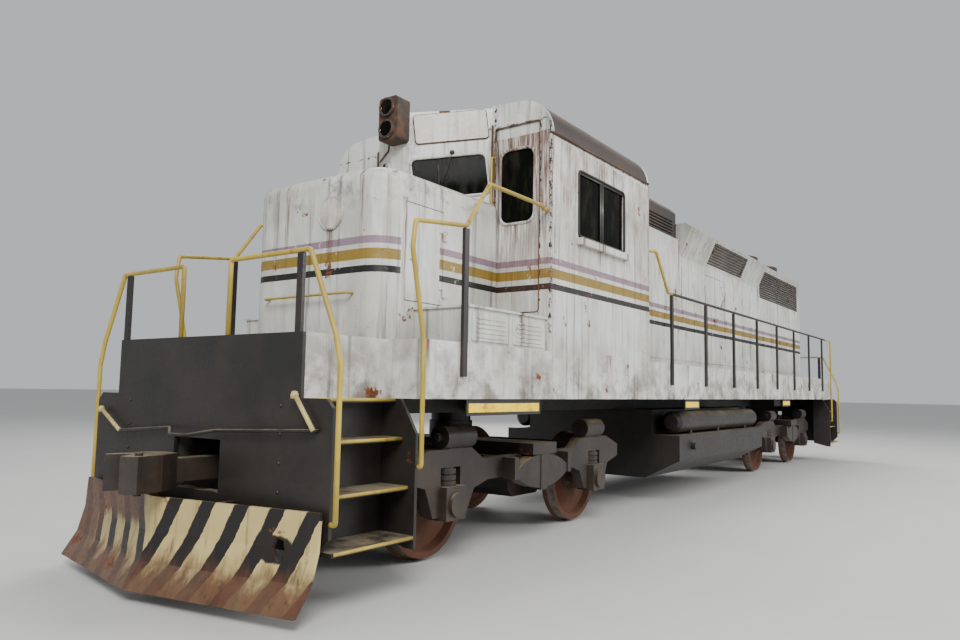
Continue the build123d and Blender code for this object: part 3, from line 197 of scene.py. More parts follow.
# %% Rust runs
LEAKS = (
    # axis, centre, top, length and half width of each run
    ("X", 5.585, 4.12, 2.6, 0.050), ("X", 3.215, 4.12, 2.6, 0.030), ("X", 3.95, 3.15, 0.75, 0.05),
    ("X", 5.02, 3.15, 0.60, 0.045), ("X", 4.55, 3.13, 0.35, 0.09), ("X", 6.49, 2.98, 0.9, 0.025),
    ("X", 7.02, 3.20, 1.3, 0.045), ("X", 6.05, 2.30, 0.4, 0.06), ("X", 2.55, 3.70, 0.8, 0.04),
    ("X", 0.60, 3.95, 1.6, 0.03), ("X", -0.62, 3.20, 0.7, 0.03), ("X", -1.62, 3.35, 0.8, 0.03),
    ("X", -3.78, 3.70, 1.7, 0.03), ("X", -5.30, 3.50, 0.7, 0.06), ("X", 1.90, 1.90, 0.35, 0.07),
    ("X", -2.40, 1.90, 0.38, 0.10), ("X", 4.30, 1.92, 0.36, 0.12), ("X", 7.45, 1.92, 0.42, 0.06),
    ("Y", 0.835, 4.25, 1.9, 0.026), ("Y", 1.375, 4.10, 1.7, 0.030), ("Y", 1.500, 4.05, 2.0, 0.035),
    ("Y", 0.24, 2.95, 0.7, 0.05), ("Y", -0.35, 3.42, 1.1, 0.04), ("Y", 0.62, 3.44, 0.9, 0.035),
    ("Y", 1.11, 3.20, 0.5, 0.05),
)


def leaks(tree, where, axes):
    """The strongest run at a place: each fades sideways over its half width and down its length."""
    wander = add(tree, "TexNoise", add(tree, "Mapping", {"Vector": where, "Scale": (3, 3, 1.4)}), 2.5, 5, 0.6)
    wander = add(tree, "Math", wander, 0.06, operation="MULTIPLY")
    upright = add(tree, "Mapping", {"Vector": where, "Scale": (40, 40, 2.5)})
    ragged = add(tree, "TexNoise", upright, 1, 8, 0.65)
    patchy = add(tree, "MapRange", ragged, 0.36, 0.58, **SMOOTH)
    wettest = 0.0
    for axis, centre, top, length, width in LEAKS:
        shifted = add(tree, "Math", axes[axis], wander, operation="ADD")
        offset = add(tree, "Math", shifted, centre + 0.03, operation="SUBTRACT")
        distance = add(tree, "Math", offset, operation="ABSOLUTE")
        beside = add(tree, "MapRange", distance, 0.25 * width, width, 1, 0, **SMOOTH)
        below = add(tree, "Math", axes["Z"], top + 0.02, operation="LESS_THAN")
        faded = add(tree, "MapRange", axes["Z"], top - length, top, **SMOOTH)
        under = add(tree, "Math", below, faded, operation="MULTIPLY")
        run = add(tree, "Math", beside, under, operation="MULTIPLY")
        wettest = add(tree, "Math", wettest, run, operation="MAXIMUM")
    return add(tree, "Math", wettest, patchy, operation="MULTIPLY")


print(len(LEAKS), "rust runs")

# %% [markdown]
# Paint also breaks off along the cab's edges, where boots and ladders knock it. The chips are
# bands along those edges, kept only where a fine noise is high, so their outlines are ragged.

# %% Chipped edges
CHIPPED = (
    # axis, centre and half width of each band where paint has broken off an edge, then the X where
    # it starts and ends and the least distance from the middle in Y
    ("X", 5.588, 0.014, 5.50, 5.62, 1.515), ("Y", 0.838, 0.011, 5.58, 5.62, 0.0),
    ("Y", 1.392, 0.011, 5.58, 5.62, 0.0), ("Y", 1.514, 0.012, 5.58, 5.62, 0.0),
    ("Z", 4.112, 0.014, 3.20, 5.62, 1.515), ("Z", 4.264, 0.010, 5.58, 5.62, 0.0),
)
CHIPS_FROM_Z = 2.1


def chips(tree, where, axes):
    """One where paint has broken off: inside a band, above the deck, and a fine noise over 0.5."""
    wander = add(tree, "Math", add(tree, "TexNoise", where, 26, 6, 0.6), 0.5, operation="SUBTRACT")
    wander = add(tree, "Math", wander, 0.05, operation="MULTIPLY")
    broken = add(tree, "MapRange", add(tree, "TexNoise", where, 17, 9, 0.7), 0.50, 0.54, **SMOOTH)
    outward = add(tree, "Math", axes["Y"], operation="ABSOLUTE")
    widest = 0.0
    for axis, centre, width, start, end, least in CHIPPED:
        shifted = add(tree, "Math", axes[axis], wander, operation="ADD")
        offset = add(tree, "Math", shifted, centre, operation="SUBTRACT")
        distance = add(tree, "Math", offset, operation="ABSOLUTE")
        near = add(tree, "Math", distance, width, operation="LESS_THAN")
        along = add(tree, "Math", axes["X"], (start + end) / 2, (end - start) / 2, operation="COMPARE")
        band = add(tree, "Math", near, along, operation="MULTIPLY")
        outside = add(tree, "Math", outward, least, operation="GREATER_THAN")
        band = add(tree, "Math", band, outside, operation="MULTIPLY")
        widest = add(tree, "Math", widest, band, operation="MAXIMUM")
    high = add(tree, "Math", axes["Z"], CHIPS_FROM_Z, operation="GREATER_THAN")
    ragged = add(tree, "Math", widest, broken, operation="MULTIPLY")
    return add(tree, "Math", ragged, high, operation="MULTIPLY")


print(len(CHIPPED), "chipped bands")

# %% [markdown]
# The enamel itself is chalky: years of sun turn its binder to powder, which pales it in upright
# patches and leaves it satin. The sill is muddy, the hood is darker towards its top behind the
# cab, and the nose's brow is scuffed.


# %% Livery material
def livery():
    """Body enamel: tones, then stripes, mud, a darker upper hood, rust runs, scuffs, weather and chips in
    turn.
    """
    material, tree, where = new_material("weathered_white_livery")
    axes = axes_of(tree, where)
    patches = add(tree, "MapRange", add(tree, "TexNoise", where, 1.1, 8, 0.6), 0.34, 0.66, **SMOOTH)
    tone = add(tree, "Mix", patches, linear("#d3d3cd"), linear("#b6b5ab"), **COLOUR)
    upright = add(tree, "TexNoise", add(tree, "Mapping", {"Vector": where, "Scale": (4, 4, 1)}), 2.2, 8, 0.6)
    chalk = add(tree, "MapRange", upright, 0.45, 0.7, 0, 0.55, **SMOOTH)
    colour = add(tree, "Mix", chalk, tone, linear("#e0e0da"), **COLOUR)
    after = add(tree, "Math", axes["X"], PLAIN_X[0], operation="GREATER_THAN")
    before = add(tree, "Math", axes["X"], PLAIN_X[1], operation="LESS_THAN")
    beside = add(tree, "Math", after, before, operation="MULTIPLY")
    left = add(tree, "Math", axes["Y"], 0.5, operation="GREATER_THAN")
    plain = add(tree, "Math", beside, left, operation="MULTIPLY")
    striped = add(tree, "Math", 1.0, plain, operation="SUBTRACT")
    worn = add(tree, "MapRange", add(tree, "TexNoise", where, 11, 10, 0.7), 0.60, 0.68, 1, 0.25, **SMOOTH)
    kept = add(tree, "Math", striped, worn, operation="MULTIPLY")
    ripple = add(tree, "Math", add(tree, "TexNoise", where, 40, 3, 0.6), 0.004, operation="MULTIPLY")
    level = add(tree, "Math", axes["Z"], ripple, operation="ADD")
    for middle, half, code in (MAUVE, GOLD, BLACK):
        band = add(tree, "Math", level, middle, half, operation="COMPARE")
        stripe = add(tree, "Math", band, kept, operation="MULTIPLY")
        colour = add(tree, "Mix", stripe, colour, linear(code), **COLOUR)
    low = add(tree, "MapRange", axes["Z"], 1.45, 2.3, 0.75, 0.0, **SMOOTH)
    splashed = add(tree, "MapRange", add(tree, "TexNoise", where, 2.6, 9, 0.65), 0.42, 0.62, **SMOOTH)
    mud = add(tree, "Math", low, splashed, operation="MULTIPLY")
    colour = add(tree, "Mix", mud, colour, linear("#5b4a38"), **COLOUR)
    # the hood is made darker towards its top behind the cab, by a share that grows with height
    high = add(tree, "MapRange", axes["Z"], 3.3, 4.5, 0.0, 0.5, **SMOOTH)
    behind = add(tree, "MapRange", axes["X"], 3.3, 2.9, **SMOOTH)
    darker = add(tree, "Math", high, behind, operation="MULTIPLY")
    colour = add(tree, "Mix", darker, colour, linear("#4a4239"), **COLOUR)
    run = leaks(tree, where, axes)
    stain = add(tree, "Mix", add(tree, "TexNoise", where, 22, 6, 0.6), linear("#7a4326"), linear("#4a2413"),
                **COLOUR)
    colour = add(tree, "Mix", add(tree, "Math", run, 0.92, operation="MULTIPLY"), colour, stain, **COLOUR)
    nose = add(tree, "MapRange", axes["X"], 5.6, 6.2, **SMOOTH)
    brow = add(tree, "MapRange", axes["Z"], 2.95, 3.35, **SMOOTH)
    scuffed = add(tree, "Math", nose, brow, operation="MULTIPLY")
    rubbed = add(tree, "MapRange", add(tree, "TexNoise", where, 3.4, 10, 0.72), 0.50, 0.62, 0, 0.55, **SMOOTH)
    scuffs = add(tree, "Math", scuffed, rubbed, operation="MULTIPLY")
    colour = add(tree, "Mix", scuffs, colour, linear("#5f5a50"), **COLOUR)
    colour, roughness, height = weather(tree, where, colour, 0.72, 0.62, 0.5)
    chip = chips(tree, where, axes)
    colour = add(tree, "Mix", chip, colour, linear("#2a1910"), **COLOUR)
    sunk = add(tree, "Math", chip, 0.8, operation="MULTIPLY")
    height = add(tree, "Math", height, sunk, operation="SUBTRACT")
    rusted = add(tree, "Math", run, 0.25, operation="MULTIPLY")
    roughness = add(tree, "Math", roughness, rusted, operation="ADD")
    return finish(material, colour, roughness, height, 0.0015)


finishes = {"white_paint": livery()}


# %% [markdown]
# ## The snow plow
# The plow is bare plate, painted with cream bars over black that lean outward, and scraped back to
# rust along its lower edge and its far end. A dark stain spreads round the torn hole in its left
# wing. The bars are cut in the shader from the distance to the middle less a share of the height.

# %% Plow paint
BAR_LEAN = 0.45
BAR_PITCH = 0.30
# The shares of the pitch between which a bar's outer edge fades
BAR_SHARE = (0.57, 0.60)
# The stain's middle and half its size in Y and Z
TORN_MIDDLE = (1.15, 0.46)
TORN_HALF = (0.15, 0.085)


def plow_bars():
    """A bar where fract((|y| - lean z + edge noise) / pitch) is under the bar's share, then rust."""
    material, tree, where = new_material("barred_plow")
    axes = axes_of(tree, where)
    side = add(tree, "Math", axes["Y"], operation="ABSOLUTE")
    lean = add(tree, "Math", axes["Z"], BAR_LEAN, operation="MULTIPLY")
    upright = add(tree, "Math", side, lean, operation="SUBTRACT")
    edge = add(tree, "Math", add(tree, "TexNoise", where, 9, 6, 0.6), 0.05, operation="MULTIPLY")
    shifted = add(tree, "Math", upright, edge, operation="ADD")
    phase = add(tree, "Math", add(tree, "Math", shifted, BAR_PITCH, operation="DIVIDE"), operation="FRACT")
    bar = add(tree, "MapRange", phase, *BAR_SHARE, 1, 0, **SMOOTH)
    cream = add(tree, "Mix", add(tree, "TexNoise", where, 4, 8, 0.6), linear("#d3bf86"), linear("#a8925a"),
                **COLOUR)
    colour = add(tree, "Mix", bar, linear("#141210"), cream, **COLOUR)
    rusty = add(tree, "Mix", add(tree, "TexNoise", where, 7, 8, 0.6), linear("#2a150b"), linear("#6b3c20"),
                **COLOUR)
    ragged = add(tree, "TexNoise", add(tree, "Mapping", {"Vector": where, "Scale": (8, 8, 2)}), 1, 8, 0.65)
    worn = []
    for axis, wander, kept, bare in (("Z", 0.5, 0.64, 0.42), ("Y", 0.8, -0.3, -0.8), ("Z", 0.2, 0.55, 0.64)):
        moved = add(tree, "Math", ragged, wander, operation="MULTIPLY")
        place = add(tree, "Math", axes[axis], moved, operation="ADD")
        worn.append(add(tree, "MapRange", place, kept, bare, **SMOOTH))
    low, far_end, high = worn
    far = add(tree, "MapRange", axes["Y"], -0.05, -0.25, **SMOOTH)
    far_top = add(tree, "Math", high, far, operation="MULTIPLY")
    bare = add(tree, "Math", far_end, far_top, operation="MAXIMUM")
    bare = add(tree, "Math", low, bare, operation="MAXIMUM")
    colour = add(tree, "Mix", add(tree, "Math", bare, 0.93, operation="MULTIPLY"), colour, rusty, **COLOUR)
    squares = []
    for axis, middle, half in zip("YZ", TORN_MIDDLE, TORN_HALF):
        offset = add(tree, "Math", axes[axis], middle, operation="SUBTRACT")
        share = add(tree, "Math", offset, half, operation="DIVIDE")
        squares.append(add(tree, "Math", share, share, operation="MULTIPLY"))
    reach = add(tree, "Math", *squares, operation="ADD")
    frayed = add(tree, "Math", add(tree, "TexNoise", where, 14, 6, 0.6), 1.2, operation="MULTIPLY")
    reach = add(tree, "Math", reach, frayed, operation="ADD")
    torn = add(tree, "MapRange", reach, 1.9, 1.5, **SMOOTH)
    colour = add(tree, "Mix", torn, colour, linear("#1c110b"), **COLOUR)
    colour, roughness, height = weather(tree, where, colour, 0.9, 0.7, 0.5)
    return finish(material, colour, roughness, height, 0.002)


finishes["plow_paint"] = plow_bars()


# %% [markdown]
# ## Wheels
# Forged steel wheels rust all over, apart from the tread, which rolling keeps bright. The tread is
# found from the face's own direction, so no second material has to be cut into the wheel.

# %% Wheel steel
WHEEL_Y = 0.75
TREAD_HALF = 0.075


def rolled_steel():
    """Polish where the normal has little Y and the place is on a wheel's rim, else dull rust."""
    material, tree, where = new_material("rolled_steel")
    normal = add(tree, "SeparateXYZ", add(tree, "NewGeometry", output="Normal"), output="Y")
    along = add(tree, "Math", normal, operation="ABSOLUTE")
    across = add(tree, "Math", add(tree, "SeparateXYZ", where, output="Y"), operation="ABSOLUTE")
    wheel = add(tree, "Math", across, WHEEL_Y, TREAD_HALF, operation="COMPARE")
    outward = add(tree, "MapRange", along, 0.25, 0.05, **SMOOTH)
    tread = add(tree, "Math", outward, wheel, operation="MULTIPLY")
    patchy = add(tree, "MapRange", add(tree, "TexNoise", where, 14, 8, 0.6), 0.40, 0.60, 0.35, 1, **SMOOTH)
    polish = add(tree, "Math", tread, patchy, operation="MULTIPLY")
    rusty = add(tree, "Mix", add(tree, "TexNoise", where, 9, 9, 0.7), linear("#2c1a10"), linear("#6b412a"),
                **COLOUR)
    colour = add(tree, "Mix", polish, rusty, linear("#8f8a84"), **COLOUR)
    smoother = add(tree, "Math", polish, 0.5, operation="MULTIPLY")
    roughness = add(tree, "Math", 0.85, smoother, operation="SUBTRACT")
    grain = add(tree, "TexNoise", where, 60, 6, 0.6)
    return finish(material, colour, roughness, grain, 0.001, Metallic=polish)


finishes["wheel_steel"] = rolled_steel()


# %% [markdown]
# ## Glass
# Laminated glass in an unlit cab looks black, with a film of dust that follows the rain. A clear
# glass over a dark cab would need many light bounces, so the darkness is in the colour here.


# %% Dirty glass
def dirty_glass():
    """Dark glass under a film of dust; its low index keeps the pale floor's reflection faint."""
    material, tree, where = new_material("dirty_glass")
    rained = add(tree, "TexNoise", add(tree, "Mapping", {"Vector": where, "Scale": (3, 3, 1)}), 2.4, 10, 0.7)
    film = add(tree, "MapRange", rained, 0.42, 0.80, 0.02, 0.30, **SMOOTH)
    colour = add(tree, "Mix", film, linear("#060908"), linear("#55503f"), **COLOUR)
    duller = add(tree, "Math", film, 0.5, operation="MULTIPLY")
    roughness = add(tree, "Math", 0.05, duller, operation="ADD")
    hidden = add(tree, "Math", film, 0.4, operation="MULTIPLY")
    clear = add(tree, "Math", 0.20, hidden, operation="SUBTRACT")
    wave = add(tree, "TexNoise", where, 1.6, 2, 0.6)
    return finish(material, colour, roughness, wave, 0.002, Transmission_Weight=clear, IOR=1.1)


finishes["glass"] = dirty_glass()

# %% [markdown]
# ## Rubber, vinyl, metal and tape
# Old moulded rubber is dull and finely pitted. The seats are black vinyl cloth with a grain like
# leather. Cast horns, fan blades and drawn window posts are plain dull alloy, and reflective tape
# is a honeycomb of tiny prisms. Pits, grain and cells are 6, 4 and 9 mm apart here, several times
# their real size, because finer ones don't show from the camera.


# %% Rubber and vinyl
def old_rubber():
    """Black rubber with pale bloom; it is pitted where the distance to a Voronoi point is small."""
    material, tree, where = new_material("old_rubber")
    bloom = add(tree, "TexNoise", where, 30, 8, 0.6)
    colour = add(tree, "Mix", bloom, linear("#191816"), linear("#37332d"), **COLOUR)
    pits = add(tree, "MapRange", add(tree, "TexVoronoi", where, 160), 0.02, 0.12, **SMOOTH)
    return finish(material, colour, 0.82, pits, 0.0006)


def worn_vinyl():
    """Vinyl cloth: black worn to grey, its grain the distance to the nearest Voronoi point."""
    material, tree, where = new_material("worn_vinyl")
    rubbed = add(tree, "TexNoise", where, 12, 8, 0.6)
    colour = add(tree, "Mix", rubbed, linear("#15161a"), linear("#34343a"), **COLOUR)
    return finish(material, colour, 0.6, add(tree, "TexVoronoi", where, 240), 0.0008)


rubber = old_rubber()
finishes["seat_cover"] = worn_vinyl()


# %% Bare metal
def bare_metal(name, code, second, roughness):
    """Unpainted alloy dulled by weather: tone and roughness follow one noise of 125 mm marks."""
    material, tree, where = new_material(name)
    dull = add(tree, "TexNoise", where, 8, 9, 0.65)
    colour = add(tree, "Mix", dull, linear(code), linear(second), **COLOUR)
    spread = add(tree, "MapRange", dull, 0.3, 0.7, roughness, roughness + 0.25, **SMOOTH)
    grain = add(tree, "TexNoise", where, 90, 5, 0.6)
    return finish(material, colour, spread, grain, 0.0006, Metallic=0.8)


finishes["horn_metal"] = bare_metal("dull_horn_metal", "#8d8b84", "#5f5c55", 0.45)
finishes["fan_metal"] = bare_metal("dusty_fan_metal", "#77746c", "#4a463f", 0.5)
frame_metal = bare_metal("window_frame_metal", "#77766f", "#4b4943", 0.4)


# %% Reflector sheet
def reflector_sheet():
    """A honeycomb of cells; a little emission stands for the light that the tape sends back."""
    material, tree, where = new_material("reflector_sheet")
    comb = add(tree, "MapRange", add(tree, "TexVoronoi", where, 110), 0.25, 0.45, **SMOOTH)
    colour = add(tree, "Mix", comb, linear("#f2d100"), linear("#c9a400"), **COLOUR)
    soiled = add(tree, "MapRange", add(tree, "TexNoise", where, 6, 9, 0.6), 0.52, 0.72, 0, 0.7, **SMOOTH)
    dirty = add(tree, "Mix", soiled, colour, linear("#4b3f22"), **COLOUR)
    return finish(material, dirty, 0.45, comb, 0.0004, Emission_Color=dirty, Emission_Strength=1.1)


reflector = reflector_sheet()

# %% [markdown]
# ## Lamp cases
# Each lamp is a sealed beam in a pressed steel case: the case is sooty and only the bowl inside is
# silvered. Case and bowl are one CAD solid, so the bowl is found by its place along X.

# %% Lamp metal
BOWL_X = (6.365, -7.555)
BOWL_HALF = 0.003


def lamp_metal():
    """Silvered and smooth where X is within BOWL_HALF of a bowl's floor, sooty steel elsewhere."""
    material, tree, where = new_material("lamp_case")
    along = add(tree, "SeparateXYZ", where, output="X")
    floors = [add(tree, "Math", along, x, BOWL_HALF, operation="COMPARE") for x in BOWL_X]
    bowl = add(tree, "Math", *floors, operation="MAXIMUM")
    patches = add(tree, "MapRange", add(tree, "TexNoise", where, 9, 9, 0.7), 0.42, 0.62, **SMOOTH)
    case = add(tree, "Mix", patches, linear("#37302a"), linear("#5d3f2a"), **COLOUR)
    colour = add(tree, "Mix", bowl, case, linear("#c9c9c4"), **COLOUR)
    smoother = add(tree, "Math", bowl, 0.6, operation="MULTIPLY")
    roughness = add(tree, "Math", 0.75, smoother, operation="SUBTRACT")
    grain = add(tree, "TexNoise", where, 70, 5, 0.6)
    return finish(material, colour, roughness, grain, 0.0008, Metallic=bowl)


finishes["lamp"] = lamp_metal()

# %% [markdown]
# ## Plain paints, and finishes on the CAD model
# The underframe, roof, rails and cab lining are brushed enamel, and the trucks are oily cast steel.
# They differ in tone and wear alone, so one function makes them all. The record names a slot for
# each node, and each slot gets one finish. The CAD meshes stay as they are.

# %% Plain paints
for slot, name, code, second, rust, streaks, dust in (
        ("black_steel", "black_underframe_paint", "#1b1917", "#2b2621", 0.35, 0.35, 0.8),
        ("roof_paint", "sooty_roof_paint", "#3b2a20", "#2a211c", 0.75, 0.5, 0.6),
        ("yellow_paint", "yellow_rail_paint", "#bca23c", "#9c8536", 0.50, 0.40, 0.4),
        ("number_blank", "blank_number_board", "#cfcabd", "#b7b1a2", 0.2, 0.4, 0.4),
        ("cab_trim", "cab_lining_paint", "#6d7a70", "#58635b", 0.15, 0.3, 0.4),
        ("engine_paint", "oily_engine_paint", "#3c4142", "#2a2c2c", 0.3, 0.7, 0.4),
        ("truck_steel", "oily_cast_steel", "#241f1b", "#3a3028", 0.55, 0.55, 0.9)):
    finishes[slot] = weathered(name, code, second, rust, streaks, dust)
cream_paint = weathered("cream_handle_paint", "#cdbb7c", "#a99558", 0.6, 0.5, 0.4)
rusty_steel = weathered("rusty_bare_steel", "#5a3620", "#3a2214", 0.9, 0.6, 0.3)

# %% Finishes on the CAD nodes
for entry in frame["record"]["subparts"]:
    painted = nodes[entry["node"]].data
    painted.materials.clear()
    painted.materials.append(finishes[entry["material_slot"]])

# %% [markdown]
# ## Helpers for surfaces
# A gasket, a pipe and a bolt head are all a profile carried along something, so every added piece is
# a grid of points worked out by numpy: rows around, columns along. `build` joins any number of
# grids into one mesh and turns each so that its faces look outward, which it knows from the sign
# of the volume that the grid encloses. Modelling each by hand would hide these shapes' sizes.


# %% Mesh from grids
def grid_quads(rows, columns):
    """Corner numbers of a grid's faces; the rows run round and close on themselves."""
    index = np.arange(rows * columns).reshape(rows, columns)
    following = np.roll(index, -1, axis=0)
    corners = (index[:, :-1], following[:, :-1], following[:, 1:], index[:, 1:])
    return np.stack(corners, axis=-1).reshape(-1, 4)


def volume(points, quads):
    """Six times the enclosed volume: the sum of a . (b x c) over both triangles of each face."""
    a, b, c, d = (points[quads[:, k]] - points.mean(axis=0) for k in range(4))
    return np.sum(a * np.cross(b, c)) + np.sum(a * np.cross(c, d))


def build(name, grids, material, body):
    """One smooth mesh from the grids, riding on a body of the CAD model."""
    points = []
    faces = []
    start = 0
    for grid in grids:
        rows, columns = grid.shape[:2]
        flat = grid.reshape(-1, 3)
        quads = grid_quads(rows, columns)
        if volume(flat, quads) < 0:
            quads = quads[:, ::-1]
        points.append(flat)
        faces.append(quads + start)
        start += rows * columns
    mesh = bpy.data.meshes.new(name)
    mesh.from_pydata(np.concatenate(points).tolist(), [], np.concatenate(faces).tolist())
    mesh.polygons.foreach_set("use_smooth", np.ones(len(mesh.polygons), bool))
    mesh.materials.append(material)
    made = bpy.data.objects.new(name, mesh)
    bpy.context.scene.collection.objects.link(made)
    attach(made, body)
    print(name, len(mesh.polygons), "faces")
    return made


# %% Outlines and faces
def rounded_outline(width, height, radius, steps=5):
    """A rounded rectangle, counterclockwise: corner centre + radius (cos t, sin t)."""
    turn = np.linspace(0, np.pi / 2, steps)
    corners = []
    for k, (sx, sy) in enumerate(((1, 1), (-1, 1), (-1, -1), (1, -1))):
        angle = turn + k * np.pi / 2
        corners.append(np.stack([sx * (width / 2 - radius) + radius * np.cos(angle),
                                 sy * (height / 2 - radius) + radius * np.sin(angle)], axis=-1))
    return np.concatenate(corners)


def on_face(origin, across, up, flat, out):
    """Flat points (u, v) and a height over the face: origin + u across + v up + out normal."""
    across, up = np.asarray(across, float), np.asarray(up, float)
    normal = np.cross(across, up)
    return (np.asarray(origin, float) + flat[..., :1] * across + flat[..., 1:2] * up
            + np.asarray(out)[..., None] * normal)


def plate(origin, across, up, width, height, thick, edge=0.004, corner=None):
    """A thin plate on a face: outlines at the foot, the side, and inset by 0.3 edge and edge on top."""
    corner = corner or edge * 1.5
    rings = []
    heights = []
    for inset, out in ((0, 0), (0, thick - edge), (edge * 0.3, thick - edge * 0.3), (edge, thick)):
        rings.append(rounded_outline(width - 2 * inset, height - 2 * inset, max(corner - inset, 0.001)))
        heights.append(out)
    middle = rings[0] * 0
    flat = np.stack([middle, *rings, middle], axis=1)
    return on_face(origin, across, up, flat, np.broadcast_to([0, *heights, thick], flat.shape[:2]))


def dome(origin, normal, radius, height, sides=8):
    """A bolt head: radius times (1, 1, 0.7, 0) at height times (-0.2, 0.45, 0.9, 1), turned round."""
    normal = np.asarray(normal, float)
    across = np.cross(normal, (0.31, 0.57, 0.77))
    across = across / np.linalg.norm(across)
    up = np.cross(normal, across)
    angle = np.linspace(0, 2 * np.pi, sides, endpoint=False)[:, None]
    reach = radius * np.array([0, 1, 1, 0.7, 0])
    rise = height * np.array([-0.2, -0.2, 0.45, 0.9, 1])
    flat = np.stack([reach * np.cos(angle), reach * np.sin(angle)], axis=-1)
    return on_face(origin, across, up, flat, np.broadcast_to(rise, flat.shape[:2]))


print("a bolt head has", dome((0, 0, 0), (0, 0, 1), 0.01, 0.01).shape[:2], "points")


# %% Bars and tubes
def smooth_path(corners, bend, steps=6):
    """Straight runs through the corners, each bend a quadratic curve: (1-t)^2 a + 2t(1-t) b + t^2 c."""
    corners = np.asarray(corners, float)
    path = [corners[:1]]
    t = np.linspace(0, 1, steps)[:, None]
    for before, here, after in zip(corners, corners[1:], corners[2:]):
        start = here + (before - here) * bend / np.linalg.norm(before - here)
        end = here + (after - here) * bend / np.linalg.norm(after - here)
        path.append((1 - t) ** 2 * start + 2 * t * (1 - t) * here + t ** 2 * end)
    path.append(corners[-1:])
    return np.concatenate(path)


def tube(corners, radius, bend=0.03, sides=10, ring=False):
    """A round bar along a path: path + radius (cos t side + sin t over), closed at its ends."""
    path = np.asarray(corners, float) if ring else smooth_path(corners, bend)
    if ring:
        path = np.concatenate([path, path[:1]])
        forward = np.roll(path[:-1], -1, axis=0) - np.roll(path[:-1], 1, axis=0)
        forward = np.concatenate([forward, forward[:1]])
    else:
        forward = np.gradient(path, axis=0)
    forward = forward / np.linalg.norm(forward, axis=1, keepdims=True)
    span = path.max(axis=0) - path.min(axis=0)
    flat_axis = np.eye(3)[np.argmin(span)]
    side = np.cross(forward, flat_axis)
    side = side / np.maximum(np.linalg.norm(side, axis=1, keepdims=True), 1e-9)
    over = np.cross(side, forward)
    reach = np.full(len(path), radius)
    if not ring:
        path = np.concatenate([path[:1], path, path[-1:]])
        side = np.concatenate([side[:1], side, side[-1:]])
        over = np.concatenate([over[:1], over, over[-1:]])
        reach = np.concatenate([[0], reach, [0]])
    angle = np.linspace(0, 2 * np.pi, sides, endpoint=False)[:, None, None]
    return path + reach[:, None] * (np.cos(angle) * side + np.sin(angle) * over)


def gasket(origin, across, up, width, height, corner, out, radius=0.014):
    """A rounded rectangle on a face, swept with a round section of the given radius."""
    outline = rounded_outline(width, height, corner, 7)
    path = on_face(origin, across, up, outline[:, None, :], np.full((len(outline), 1), out))[:, 0]
    return tube(path, radius, ring=True, sides=8)


print("a short bar has", tube([(0, 0, 0), (0, 0, 1)], 0.01).shape[:2], "points")


# %% [markdown]
# ## The windscreen bay
# The cab front stands out in a V, and each half leans back. Rubber that has been painted over
# holds the panes, so the frames and the wipers are drawn on the same slanted faces as the glass.

# %% Axes of the bay
CAB_X = 5.60
BAY_FRONT_X = 6.15
BAY_SIDE = 0.80
BAY_FRONT = 0.13
BAY_TILT = math.radians(7.5)
UPRIGHT = np.array([0, 0, 1.0])
FORWARD_FACE = ((0, 1, 0), (0, 0, 1))
REARWARD_FACE = ((0, -1, 0), (0, 0, 1))


def bay_axes(side):
    """Centre, across and up of one slanted face, turned by the tilt; side is 1 for the left."""
    middle = np.array([(CAB_X + BAY_FRONT_X) / 2, side * (BAY_SIDE + BAY_FRONT) / 2, 0])
    run = np.array([CAB_X - BAY_FRONT_X, side * (BAY_SIDE - BAY_FRONT), 0])
    level = side * run / np.linalg.norm(run)
    tilt = BAY_TILT * side
    across = math.cos(tilt) * level + math.sin(tilt) * UPRIGHT
    return middle, across, math.cos(tilt) * UPRIGHT - math.sin(tilt) * level


def side_face(side):
    """Across and up of an upright face that looks to the left, 1, or to the right, -1."""
    return (-side, 0, 0), (0, 0, 1)


print("left half of the bay runs along", bay_axes(1)[1].round(3))


# %% Windscreen frames and wipers
WINDSCREEN_Z = 3.745
PANE_Z = 3.62
painted_frames = []
wipers = []
for side in (1, -1):
    middle, across, up = bay_axes(side)
    centre = middle + (0, 0, WINDSCREEN_Z)
    painted_frames.append(gasket(centre, across, up, 0.80, 0.44, 0.07, 0.004, 0.016))
    # pivot, arm's end, blade's top and blade's end: across, up and out from the pane's centre
    places = ((0.05, 0.25, 0.012), (-0.12, -0.14, 0.03), (-0.11, 0.12, 0.022), (-0.13, -0.21, 0.022))
    pivot, arm, top, end = (on_face(centre, across, up, np.array([[u, v]]), [out])[0] for u, v, out in places)
    wipers += [tube([pivot, arm], 0.007, sides=8), tube([top, end], 0.009, sides=8)]
    wipers.append(dome(pivot, np.cross(across, up), 0.026, 0.02, 12))
painted_frames.append(gasket((CAB_X, -1.13, PANE_Z), *FORWARD_FACE, 0.45, 0.77, 0.10, 0.003))
build("painted_window_frames", painted_frames, finishes["white_paint"], "body")
build("wipers", wipers, finishes["black_steel"], "body")

# %% [markdown]
# ## The side windows
# Each side window sits in rubber and has two sliding panes: an aluminium post stands in the middle,
# and a frame runs round each pane.

# %% Side windows
CAB_SIDE = 1.524
POST_SIDE = 1.512
WINDOW_X, WINDOW_Z = 4.48, 3.50
gaskets = []
bars = []
for side in (1, -1):
    gaskets.append(gasket((WINDOW_X, side * CAB_SIDE, WINDOW_Z), *side_face(side), 1.11, 0.71, 0.05, 0.002))
    for x in (WINDOW_X - 0.025, WINDOW_X + 0.025):
        bars.append(tube([(x, side * POST_SIDE, 3.16), (x, side * POST_SIDE, 3.84)], 0.010, sides=8))
    for z in (WINDOW_Z - 0.335, WINDOW_Z + 0.335):
        bars.append(tube([(3.94, side * POST_SIDE, z), (5.02, side * POST_SIDE, z)], 0.010, sides=8))
build("window_gaskets", gaskets, rubber, "body")
build("window_posts", bars, frame_metal, "body")

# %% [markdown]
# ## The cab doors
# Each cab door is one CAD solid, leaf and pane, so the glass you look through is laid over its pane
# on both faces, and rides on the door. Rust fills the seam round the front door.

